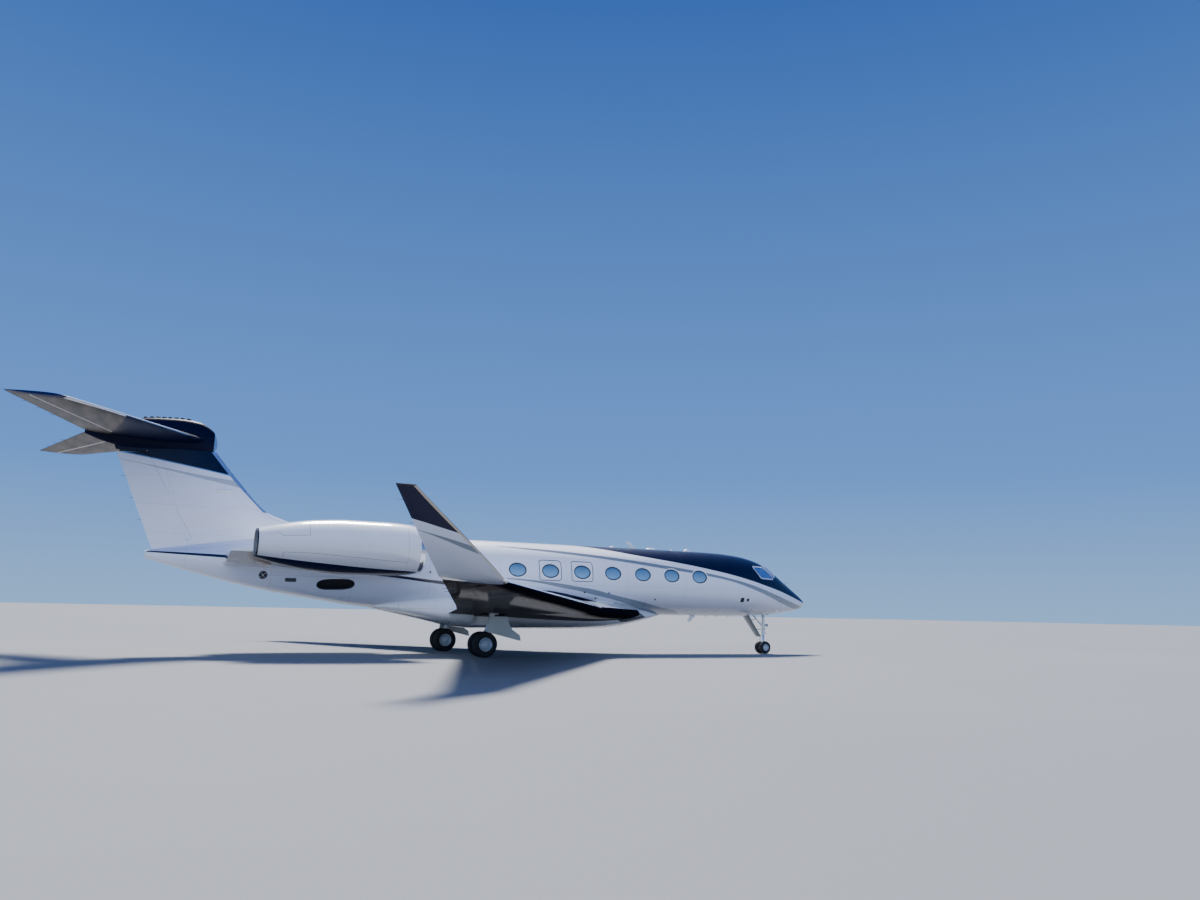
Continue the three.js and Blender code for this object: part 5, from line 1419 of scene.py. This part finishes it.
def wheel(leg, s):
    """One wheel: a rim barrel, a dished disc and a hub, turned about the axle. Its slots and cap are made in
    wheel_set.
    """
    rim, w = leg["rim"], leg["width"]
    face = [(0.24, 0.30), (0.27, 0.29), (0.29, 0.24), (0.36, 0.16), (0.5, 0.1), (0.72, 0.1), (0.84, 0.16),
            (0.9, 0.28), (0.93, 0.4), (0.95, 0.435), (1.0, 0.455), (1.04, 0.45), (1.045, 0.425), (1.0, 0.405),
            (1.0, -0.405), (1.045, -0.425), (1.04, -0.45), (1.0, -0.455), (0.95, -0.435), (0.915, -0.38),
            (0.9, -0.1), (0.88, 0.0), (0.8, 0.03), (0.5, 0.0), (0.3, -0.02), (0.24, -0.04)]
    return spun([(r * rim, s * (leg["spacing"] / 2 + a * w)) for r, a in face], leg["axle"])


def hub_cap(leg, s):
    """The domed cap over the wheel nut, on a ring of bolts."""
    rim, w, base = leg["rim"], leg["width"], leg["spacing"] / 2
    cap = [(0.001, 0.345), (0.1, 0.34), (0.17, 0.325), (0.2, 0.3), (0.215, 0.26), (0.25, 0.25), (0.25, 0.2),
           (0.001, 0.2)]
    parts = [spun([(r * rim, s * (base + a * w)) for r, a in cap], leg["axle"], 48, loop=False)]
    for a in np.arange(10) * math.pi / 5:
        x, z = 0.43 * rim * math.cos(a), 0.43 * rim * math.sin(a)
        start, end = (leg["axle"] + (x, s * (base + share * w), z) for share in (0.08, 0.17))
        parts.append(rod(start, end, 0.035 * rim, sides=6))
    return parts


SLOTS = 12


def slot_tools(leg, s):
    """Radial slots with round ends, between the hub and the rim."""
    tools, u = [], circle(20)
    for a in np.arange(SLOTS) * 2 * math.pi / SLOTS:
        reach = leg["rim"] * (0.665 + 0.115 * np.sign(np.cos(u)) * np.abs(np.cos(u)) ** 0.6)
        wide = leg["rim"] * 0.062 * np.sign(np.sin(u)) * np.abs(np.sin(u)) ** 0.6
        x, z = reach * math.cos(a) - wide * math.sin(a), reach * math.sin(a) + wide * math.cos(a)
        ys = [leg["axle"][1] + s * (leg["spacing"] / 2 + share * leg["width"]) for share in (-0.12, 0.3)]
        tools.append(prism(np.stack([leg["axle"][0] + x, leg["axle"][2] + z], -1), "y", *ys))
    return tools


def wheel_set(leg, name, body, nodes, side=1):
    """Two wheels, their axle and their tyres, each part with its own material."""
    hubs = solid(name + "_wheels", [wheel(leg, s) for s in (1, -1)], side)
    cut(hubs, slot_tools(leg, 1) + slot_tools(leg, -1), side=side)
    dress(hubs, wheel_alloy, body, [nodes + "_hubs"], sharp=30)
    reach = across * (leg["spacing"] / 2 + 0.18 * leg["width"])
    caps = [rod(leg["axle"] - reach, leg["axle"] + reach, leg["spindle"], sides=32)]
    caps += [part for s in (1, -1) for part in hub_cap(leg, s)]
    dress(solid(name + "_axle", caps, side), gear_paint, body)
    for word, y in (("outer", leg["spacing"] / 2), ("inner", -leg["spacing"] / 2)):
        ring_piece = solid(name + "_ribbed_tyre_" + word, [tyre(leg, y)], side)
        dress(ring_piece, tyre_rubber, body, [nodes + "_tyre_" + word])


for side, word in SIDES:
    wheel_set(MAIN, "main_" + word, "main_wheels_" + word, "main_" + word, side)

# Nose gear: a fixed leg with a drag brace, and a chromed tube that turns in it with the collar, the towing
# lug and the axle. The rear door stands across the aircraft behind the leg.

NOSE = {"axle": np.array([at(2.21), 0, 0.2637]), "tyre": 0.2637, "width": 0.184, "spacing": 0.33, "rim": 0.13,
        "spindle": 0.026}
NOSE_LEG_X = at(2.17)


def nose_point(z, ahead=0.0, y=0.0):
    """A point at a height on the nose leg's line, or that far ahead of it and beside it."""
    return np.array([NOSE_LEG_X + ahead, y, z])


HINGE_X = at(2.98)
leg_parts = [rod(nose_point(z0), nose_point(z1), radius, sides=40)
             for z0, z1, radius in ((0.9, 2.04, 0.066), (0.9, 0.96, 0.078), (1.3, 1.35, 0.078))]
leg_parts += [
    rod(nose_point(1.96, 0, -0.25), nose_point(1.96, 0, 0.25), 0.045, sides=32),
    rod(nose_point(1.12), (HINGE_X, 0, 1.9), 0.036, 0.03),
    rod((HINGE_X, -0.25, 1.9), (HINGE_X, 0.25, 1.9), 0.038),
    rod(nose_point(1.12, 0, -0.09), nose_point(1.12, 0, 0.09), 0.034),
    rod(nose_point(1.04, 0.03, -0.13), nose_point(1.04, 0.03, 0.13), 0.03),
]
dress(solid("nose_leg_casting", leg_parts), gear_paint, replaces=["nose_leg"])
f = Finish("lamp_lens", Coat_Weight=1.0)
lamp_lens = f.finish(f.mix(f.noise(30), "dfe6ec", "ffffff"), 0.08)
LAMP_Z, LAMP_Y = 1.2, 0.1
lamps, lenses = [], []
for y in (LAMP_Y, -LAMP_Y):
    lamps.append(rod(nose_point(LAMP_Z, 0.07, y), nose_point(LAMP_Z, 0.15, y), 0.05, 0.07, sides=36))
    lenses.append(rod(nose_point(LAMP_Z, 0.146, y), nose_point(LAMP_Z, 0.154, y), 0.062, sides=36))
lamps.append(rod(nose_point(LAMP_Z, 0.05, -0.12), nose_point(LAMP_Z, 0.05, 0.12), 0.02))
dress(solid("taxi_lamp_bodies", lamps), polished)
dress(solid("taxi_lamp_lenses", lenses), lamp_lens)

NOSE_DOOR = {"low": (2.42, 0.73, 0.19), "high": (3.09, 1.64, 0.245), "depth": 0.028}
t = np.linspace(0, 1, 40)
corner_in = 0.05 * (np.clip(1 - t / 0.06, 0, 1) ** 2 + np.clip(1 - (1 - t) / 0.06, 0, 1) ** 2)
(s0, z0, h0), (s1, z1, h1) = NOSE_DOOR["low"], NOSE_DOOR["high"]
edge = h0 + (h1 - h0) * t - corner_in
station, height = s0 + (s1 - s0) * t, z0 + (z1 - z0) * t
depth = NOSE_DOOR["depth"]
section = [(0, -1, 0.01), (0, 1, 0.01), (0.006, 1, 0), (depth - 0.006, 1, 0), (depth, 1, 0.01),
           (depth, -1, 0.01), (depth - 0.006, -1, 0), (0.006, -1, 0)]
rows = [np.stack([at(station + back), side * (edge - trim_in), height - back / 2], -1)
        for back, side, trim_in in section]
plate = closed(np.stack(rows, 1))
hooks = [rod((at(2.62 + 0.3 * k), s * 0.13, 0.99 + 0.41 * k), (at(2.2 + 0.32 * k), s * 0.03, 1.06 + 0.41 * k),
             0.012, sides=12) for k in (0, 1) for s in (1, -1)]
nose_door_paint = plain("nose_door_paint", ("48555e", 0.15), (0.25, 0.1, 6, 4.0), **GLOSS)
dress(solid("nose_leg_door_panel", [plate]), nose_door_paint, replaces=["nose_leg_door"])
dress(solid("nose_leg_door_links", hooks), gear_paint)

FORK_TOP = 0.894
nose_bore = rod(NOSE["axle"] - across * 0.15, NOSE["axle"] + across * 0.15, NOSE["spindle"] + 0.008, bevel=0)
tube = solid("nose_fork_tube", [rod(nose_point(NOSE["tyre"]), nose_point(FORK_TOP - 0.02), 0.048, sides=48)])
cut(tube, [nose_bore])
dress(tube, chrome, "nose_fork")
knee = nose_point(0.62, -0.19)
fork = [rod(nose_point(FORK_TOP - 0.09), nose_point(FORK_TOP), 0.084, sides=48),
        sleeve(NOSE["axle"], 0.062, 0.058, 0.034), sleeve(nose_point(0.42), 0.04, 0.058, 0.046, (0, 0, 1.0)),
        sleeve(nose_point(0.31), 0.03, 0.056, 0.046, (0, 0, 1.0))]
fork += fork_link(nose_point(FORK_TOP - 0.044, -0.07), knee, 0.035, 0.016, 0.016)
fork += fork_link(nose_point(0.42, -0.05), knee, 0.035, 0.03, 0.016)
lug = rounded(rect(NOSE_LEG_X + 0.05, -0.045, NOSE_LEG_X + 0.14, 0.045), 0.02)
fork.append(prism(lug, "z", 0.815, 0.885))
dress(solid("nose_fork_casting", fork), gear_paint, "nose_fork", ["nose_fork"], sharp=45)
wheel_set(NOSE, "nose", "nose_wheels", "nose")

# Cabin: carpet over honeycomb floor panels, and a lined and veneered wall behind the flight deck. The seats
# are leather over foam, each on a metal base that is bolted to the floor's seat tracks.

FLOOR_TOP = 2.13
CABIN_BACK, LINED = 16.98, 0.1028
inside = closed(hull(np.linspace(1.4, CABIN_BACK, 120)[:, None], ring, -LINED))
carpet = plain("cabin_carpet", ("564e45", "857b6e", 300), (0.9, 0.08, 300), (1, 300), 0.002, Sheen_Weight=0.4)
floor = solid("cabin_carpet_floor", [block((at(CABIN_BACK), -2, 2.04), (at(3.3), 2, FLOOR_TOP))])
cut(floor, [inside], "INTERSECT")
y, z = DOOR["hinge"]
cut(floor, [rod((at(DOOR["back"] + 0.03), y, z), (at(DOOR["front"] - 0.03), y, z), 0.172, sides=48, bevel=0)])
dress(floor, carpet, replaces=["cabin_floor"])

f = Finish("walnut_veneer", Coat_Weight=1.0, Coat_Roughness=0.06)
figure = f.noise(2.2, 6.0, (1, 6, 1)) * 0.6 + f.noise(40, 3.0, (1, 8, 0.6)) * 0.4
veneer = f.finish(f.mix(figure.math("MULTIPLY", 1.3, clamp=True), "4b2a17", "9a6a3e"), 0.3 + figure * 0.1,
                  figure * 0.3, 0.0003)
wall = solid("deck_bulkhead_wall", [block((at(3.96), -2, FLOOR_TOP + FIT), (at(3.9), 2, 5))])
cut(wall, [inside], "INTERSECT")
cut(wall, [block((at(4.0), -0.3, 0), (at(3.8), 0.3, 3.95))])
dress(wall, veneer, replaces=["deck_bulkhead"])

PANEL = side_plan([[2.33, 2.35], [2.64, 2.35], [2.64, 3.01], [2.48, 3.12], [2.2, 3.13], [2.15, 3.04]])
panel_plastic = plain("crackle_plastic", ("1b1c1f", "34363b", 260, 3.0), (0.6, 0.2, 260, 3.0), (1, 260, 3.0),
                      0.0006)
board = solid("instrument_board", [prism(rounded(PANEL, 0.04), "y", -2, 2)])
cut(board, [inside], "INTERSECT")
dress(board, panel_plastic, replaces=["instrument_panel"])
f = Finish("display_glass", Coat_Weight=1.0, Emission_Strength=1.2)
HORIZON = 2.72
ticks = f.y.every(0.03).seam(0.002, 0.001) * f.z.within(HORIZON - 0.06, HORIZON + 0.06)
sky_ground = f.mix(ticks, f.mix(f.z.above(HORIZON, 0.004), "5a3c1c", "1f62b8"), "e8eef2")
display_glass = f.finish(sky_ground, 0.12, Emission_Color=sky_ground)
screens, bezels = [], []
for y in (-0.52, -0.175, 0.175, 0.52):
    for grow, depth, kind in ((0.0, 0.006, screens), (0.012, 0.003, bezels)):
        shape = rounded(about(y, HORIZON, 0.14 + grow, 0.11 + grow), 0.012, 4)
        kind.append(prism(shape, "x", at(2.66) + 0.015 - depth, at(2.63)))
dress(solid("flight_displays", screens), display_glass)
dress(solid("display_bezels", bezels), seal)

SEAT = {"wide": 0.62, "long": 0.64, "cushion": 0.44, "back": 1.13}
ROWS = [(7.3, -1), (9.0, 1), (12.1, -1), (13.8, 1)]
f = Finish("cream_leather", Sheen_Weight=0.1)
crease = f.noise(18, 5.0)
leather = f.finish(f.mix(crease, "b7a78b", "dccfb6"), 0.42 + crease * 0.16,
                   crease * 0.6 + f.noise(520, 2.0) * 0.4, 0.0012)


def cushion(low, high, crown_by=0.022, square=0.34):
    """A pad: a squarish ball in three axes, crowned in the middle of each face and pulled in at its seams."""
    low, high = np.asarray(low, float), np.asarray(high, float)
    u = circle(56)[None, :]
    v = np.linspace(0, np.pi, 34)[:, None]

    def power(a):
        return np.sign(a) * np.abs(a) ** square

    shape = pack(power(np.sin(v)) * power(np.cos(u)), power(np.sin(v)) * power(np.sin(u)), power(np.cos(v)))
    size = (high - low) / 2 - crown_by * 0.5
    welt = 1 - 0.012 * np.exp(-((np.abs(shape[..., 2]) - 0.86) / 0.05) ** 2)
    points = shape * size * welt[..., None]
    flat = 1 - shape ** 2
    points += np.sign(shape) * crown_by * flat[..., [1, 2, 0]] * flat[..., [2, 0, 1]] * np.abs(shape) ** 2
    return closed(points + (low + high) / 2)


def seat_parts(station, y, facing):
    """A seat: the pads of its seat, back and head, its armrests, and its base."""
    x, low = at(station), FLOOR_TOP + FIT
    w, reach = SEAT["wide"] / 2, SEAT["long"] / 2
    rest = x - facing * (reach + 0.03)
    pads = [
        cushion((x - reach, y - w + 0.05, low + 0.29), (x + reach, y + w - 0.05, low + SEAT["cushion"])),
        cushion((rest - 0.085, y - w + 0.05, low + 0.4), (rest + 0.085, y + w - 0.05, low + 0.88)),
        cushion((rest - 0.065, y - w + 0.12, low + 0.885), (rest + 0.065, y + w - 0.12, low + SEAT["back"])),
    ]
    arms = [cushion((x - reach + 0.03, y + s * (w - 0.04) - 0.035, low + 0.5),
                    (x + reach - 0.06, y + s * (w - 0.04) + 0.035, low + 0.57), 0.008) for s in (1, -1)]
    shell = [prism(rounded(about(x, y, 0.16, 0.13), 0.04), "z", low, low + 0.285)]
    sides = rounded(rect(x - reach + 0.05, low + 0.24, x + reach - 0.1, low + 0.5), 0.05)
    shell += [prism(sides, "y", y + s * (w - 0.04) - 0.012, y + s * (w - 0.04) + 0.012) for s in (1, -1)]
    return pads, arms, shell


seat_metal = plain("seat_base_metal", ("8c8f94", 0.1), (0.35, 0.1, 20), (0.3, 200), 0.0003, Metallic=0.8)


def dress_seats(name, seats, replaces):
    """The pads of several seats, with the first kind standing for the CAD node, and their bases."""
    kinds = list(zip(*seats))
    for index, word in enumerate(("seat_pads", "backrest_pads", "headrest_pads")):
        pads = solid(name + "_" + word, [pad_set[index] for pad_set in kinds[0]])
        dress(pads, leather, replaces=replaces if index == 0 else (), sharp=80)
    arms = solid(name + "_armrest_pads", [part for arm_set in kinds[1] for part in arm_set])
    dress(arms, leather, sharp=80)
    bases = [part for base_set in kinds[2] for part in base_set]
    dress(solid(name + "_bases", bases), seat_metal)


for side, word in SIDES:
    dress_seats("cabin_" + word, [seat_parts(station, 0.7 * side, facing) for station, facing in ROWS],
                ["cabin_seats_" + word])
    ledge = block((at(15.5), 0.64, FLOOR_TOP + FIT), (at(7.0), 0.76, FLOOR_TOP + 0.025))
    dress(solid("cabin_ledge_" + word, [ledge], side), seat_metal)
dress_seats("crew", [seat_parts(3.45, y, 1) for y in (0.48, -0.48)], ["crew_seats"])
CONSOLE = side_plan([[2.7, FLOOR_TOP + FIT], [3.65, FLOOR_TOP + FIT], [3.65, 2.47], [3.3, 2.55], [2.7, 2.55]])
dress(solid("centre_console", [prism(rounded(CONSOLE, 0.03), "y", -0.16, 0.16)]), panel_plastic)
knobs = [rod((at(s), y, 2.54), (at(s), y, 2.58), 0.014, 0.011, sides=20) for s in np.linspace(2.8, 3.2, 6)
         for y in (-0.11, -0.055, 0.055, 0.11)]
levers = [rod((at(2.95), y, 2.54), (at(2.9), y, 2.66), 0.01, 0.016, sides=16) for y in (-0.018, 0.018)]
dress(solid("console_knobs", knobs + levers), seat_metal)

# Small fittings, screwed or riveted on: moulded antennas and blisters, flush static ports, drains, service
# openings with pressed rims, air data probes, lamps behind clear lenses and carbon static wicks.

def bump(centre, half_sizes):
    """A blister: a ball stretched to three half sizes about a centre on the skin."""
    u = circle(28)[None, :]
    v = np.linspace(0.02, np.pi - 0.02, 16)[:, None]
    ball = pack(np.cos(v), np.sin(v) * np.cos(u), np.sin(v) * np.sin(u))
    return closed(np.asarray(centre, float) + ball * half_sizes)


def on_side(x, z, out=0.0):
    """One point on the fuselage's side."""
    return side_skin(np.array(x, float), np.array(z, float), out)


DOMES = ((5.6, (0.13, 0.09, 0.06)), (7.39, (0.24, 0.15, 0.07)), (8.38, (0.06, 0.05, 0.045)),
         (9.13, (0.17, 0.11, 0.09)))
domes = [bump((x, 0, float(crown(NOSE_X - x))), size) for x, size in DOMES]
top_blade = fin_blade((6.6, 0, 4.2), 0.3, 0.3, 0.3, 0.045, top_share=0.7)
dress(solid("crown_antennas", domes + [top_blade]), frame_paint)
drains = [bump((x, 0, float(keel(NOSE_X - x))), (0.06, 0.035, 0.035)) for x in (10.1, 10.6, 11.2)]
drains += [fin_blade((9.45, 0, 1.57), 0.28, 0.26, 0.2, 0.04, (0, 0, -1), 0.7),
           fin_blade((7.6, 0.35, 1.61), 0.12, 0.1, 0.05, 0.02, (0, 0.3, -1), 0.7),
           fin_blade((-4.6, 0, 1.98), 0.14, 0.14, 0.1, 0.02, (0, 0, -1), 0.7)]
dress(solid("belly_antennas", drains), frame_paint)
FIN_SCOOP = (-9.2, 0.125, 5.4)
scoops = [bump(np.multiply(FIN_SCOOP, (1, side, 1)), (0.32, 0.08, 0.07)) for side in (1, -1)]
dress(solid("fin_scoops", scoops), frame_paint)

DOTS = [(6.975, 2.161), (4.861, 2.359), (2.355, 2.356), (3.811, 2.354), (4.343, 2.148), (-2.3, 2.9)]
PLATES = [(11.206, 2.24, 0.09), (11.506, 2.247, 0.06)]
ROUND_PORT, VENT = (-7.83, 2.621, 0.12), (-6.949, 2.485, 0.17, 0.055)
for side, word in SIDES:
    flush = [plate_on(oval(x, z, 0.034, 0.034, 20), 0.003, 3) for x, z in DOTS]
    flush += [plate_on(rounded(about(x, z, reach, reach), 0.02), 0.003, 4)
              for x, z, reach in (PLATES if side < 0 else PLATES[1:])]
    dress(solid("static_ports_" + word, flush, side), dark)
    probes = []
    for x, z, rise in ((13.915, 2.955, 0.8), (13.3, 2.2, 0.1), (13.1, 2.42, 0.1)):
        foot = on_side(x, z, -0.01)
        tip = foot + np.array([0.05, 0.11 * math.sqrt(1 - rise ** 2), 0.11 * rise])
        probes.append(rod(foot, tip, 0.014, 0.011, 14))
        probes.append(rod(tip - (0.03, 0, 0), tip + (0.16, 0, 0), 0.012, 0.006, 16))
    dress(solid("air_data_probes_" + word, probes, side), polished)
    nose_lamp = bump(on_side(13.415, 1.823), (0.07, 0.03, 0.03))
    tip_lamp = bump((at(19.42), 13.87, 2.283), (0.1, 0.09, 0.035))
    dress(solid("position_lamps_" + word, [nose_lamp, tip_lamp], side), lamp_lens)
    wiper = [top_skin(np.array(at(s)), np.array(y), 0.018)
             for s, y in ((1.72, 0.1), (1.86, 0.13), (2.3, 0.33))]
    arms = [rod(wiper[0] - (0, 0, 0.02), wiper[1], 0.011, sides=10), rod(wiper[1], wiper[2], 0.008, sides=10)]
    dress(solid("screen_wipers_" + word, arms, side), seal)

u, v, radius = ROUND_PORT
port_ring = oval(u, v, radius, radius, 40)
bars = [rod(on_side(u - a * 0.11, v - b * 0.11, 0.006), on_side(u + a * 0.11, v + b * 0.11, 0.006), 0.016,
            sides=12) for a, b in ((0.8, 0.6), (0.6, -0.8))]
vent_box = rounded(about(*VENT), 0.02)
# The dark dishes stand for the shade inside the openings, under the bars, the slats and the oval rim.
dishes = [plate_on(port_ring), plate_on(vent_box, 0.003),
          sheet_on(grown(PORT_OVAL, 0.01), side_skin, (-0.07, -0.085))]
dress(solid("service_port_dishes", dishes, -1), dark)
slats = [rod(on_side(VENT[0] + dx - 0.03, VENT[1] - 0.045, 0.004),
             on_side(VENT[0] + dx + 0.02, VENT[1] + 0.045, 0.004), 0.009, sides=8)
         for dx in np.linspace(-0.13, 0.13, 6)]
rims = [rim_on(port_ring, side_skin, -0.008, 0.02, 0.008, 0.01),
        rim_on(PORT_OVAL, side_skin, -0.002, 0.026, 0.006, 0.02),
        rim_on(vent_box, side_skin, -0.004, 0.012, 0.004, 0.01)]
vanes = [rod(on_side(PORT_X + dx, 2.25, -0.05), on_side(-5.44 + dx, 2.52, -0.05), 0.012, sides=10)
         for dx in np.linspace(-0.4, 0.4, 5)]
dress(solid("service_port_rims", rims + bars + slats, -1), polished)
dress(solid("service_port_vanes", vanes, -1), dark)
dress(solid("tail_lamp", [bump((at(28.6), 0, TAIL_Z), (0.1, 0.05, 0.06))]), lamp_lens)


def wick(p):
    """A carbon rod that trails from an edge, to let static charge go."""
    return rod(np.add(p, (0.03, 0, 0)), np.add(p, (-0.13, 0, -0.004)), 0.006, 0.003, 8)


def edge_points(rows, spans):
    """Points on a wing's trailing edge."""
    places = (np.array(np.interp(y, rows[:, 0], np.arange(len(rows)))) for y in spans)
    return [foil(rows, place, np.array(1.0)) for place in places]


for side, word in SIDES:
    for name, rows, spans in (("aileron_", WING, (10.1, 11.1, 12.1)), ("elevator_", TAIL, (2.4, 3.3, 4.2))):
        wicks = [wick(p) for p in edge_points(rows, spans)]
        dress(solid(name + "wicks_" + word, wicks, side), seal, name + word)
    tip_wicks = [wick(winglet_skin(np.array(path), np.array(1.0))) for path in (1.1, 1.6, 2.1)]
    dress(solid("winglet_wicks_" + word, tip_wicks, side), seal)
rudder_wicks = [wick((at(float(fin_back(z))), 0, z)) for z in (4.3, 5.0, 5.7)]
dress(solid("rudder_wicks", rudder_wicks), seal, "rudder")

handle = rounded(about(at(4.52), 3.05, 0.11, 0.035), 0.03)
grip = [plate_on(handle), rim_on(handle, side_skin, -0.003, 0.012, 0.006, 0.01)]
dress(solid("entry_door_handle", grip), polished, "entry_door")
latches = [plate_on(rounded(about(at(s), 2.6, 0.05, 0.025), 0.02)) for s in (19.55, 20.07)]
dress(solid("baggage_door_latches", latches), polished, "baggage_door")

# Studio: a pale matt floor, a wide soft light overhead and a fill from the camera's side, with the camera
# where the photographer stood, low down off the starboard rear quarter.

f = Finish("studio_floor", Specular_IOR_Level=0.2)
scuffs = f.noise(0.05, 4.0)
floor_paint = f.finish(f.mix(scuffs, "7f8184", "8a8c8f"), 0.8 + f.noise(0.4) * 0.1)
FLOOR_HALF = 900.0
stage = bpy.data.meshes.new("studio_floor")
stage.from_pydata([(x, y, 0) for x, y in about(0, 0, FLOOR_HALF, FLOOR_HALF)], [], [(0, 1, 2, 3)])
stage.materials.append(floor_paint)
stage_floor = bpy.data.objects.new("studio_floor", stage)
bpy.context.scene.collection.objects.link(stage_floor)

world = bpy.data.worlds.new("studio_air")
bpy.context.scene.world = world
world.use_nodes = True
backdrop = world.node_tree
way = backdrop.nodes.new("ShaderNodeSeparateXYZ")
backdrop.links.new(backdrop.nodes.new("ShaderNodeTexCoord").outputs["Generated"], way.inputs[0])
fade = backdrop.nodes.new("ShaderNodeValToRGB")
SKY = ((0.0, (0.34, 0.60, 1.0, 1)), (0.14, (0.15, 0.38, 0.95, 1)), (0.6, (0.04, 0.14, 0.55, 1)))
for i, (place, tint) in enumerate(SKY):
    stop = fade.color_ramp.elements[i] if i < 2 else fade.color_ramp.elements.new(place)
    stop.position, stop.color = place, tint
backdrop.links.new(way.outputs[2], fade.inputs[0])
backdrop.links.new(fade.outputs[0], backdrop.nodes["Background"].inputs["Color"])
backdrop.nodes["Background"].inputs["Strength"].default_value = 0.9


def far_light(name, way, strength, spread, tint, glossy=True):
    """A distant soft light that shines along a direction, as wide in the sky as its spread in degrees."""
    lamp = bpy.data.lights.new(name, "SUN")
    lamp.energy, lamp.angle, lamp.color = strength, math.radians(spread), tint
    obj = bpy.data.objects.new(name, lamp)
    bpy.context.scene.collection.objects.link(obj)
    obj.rotation_euler = mathutils.Vector(way).to_track_quat("-Z", "Y").to_euler()
    obj.visible_glossy = glossy


far_light("key_light", (-0.15, -0.62, -0.9), 9.0, 14, (1.0, 0.97, 0.93))
far_light("fill_light", (0.35, 0.8, -0.3), 1.7, 60, (0.86, 0.92, 1.0), False)

CAMERA = {"place": (-11.707, -33.907, 1.612), "yaw": 0.457, "pitch": 0.172, "roll": 0.020, "focal": 934.7}
IMAGE_WIDTH, SENSOR = 1200, 36.0
yaw, pitch, roll = CAMERA["yaw"], CAMERA["pitch"], CAMERA["roll"]
ahead = np.array([math.sin(yaw) * math.cos(pitch), math.cos(yaw) * math.cos(pitch), math.sin(pitch)])
right = np.array([math.cos(yaw), -math.sin(yaw), 0])
up = np.cross(right, ahead)
right, up = right * math.cos(roll) + up * math.sin(roll), up * math.cos(roll) - right * math.sin(roll)
lens = bpy.data.cameras.new("camera")
lens.sensor_fit, lens.sensor_width, lens.lens = "HORIZONTAL", SENSOR, CAMERA["focal"] / IMAGE_WIDTH * SENSOR
lens.clip_end = 3000
camera = bpy.data.objects.new("camera", lens)
bpy.context.scene.collection.objects.link(camera)
matrix = np.eye(4)
matrix[:3, :4] = np.stack([right, up, -ahead, CAMERA["place"]], 1)
camera.matrix_world = mathutils.Matrix(matrix.tolist())
bpy.context.scene.camera = camera
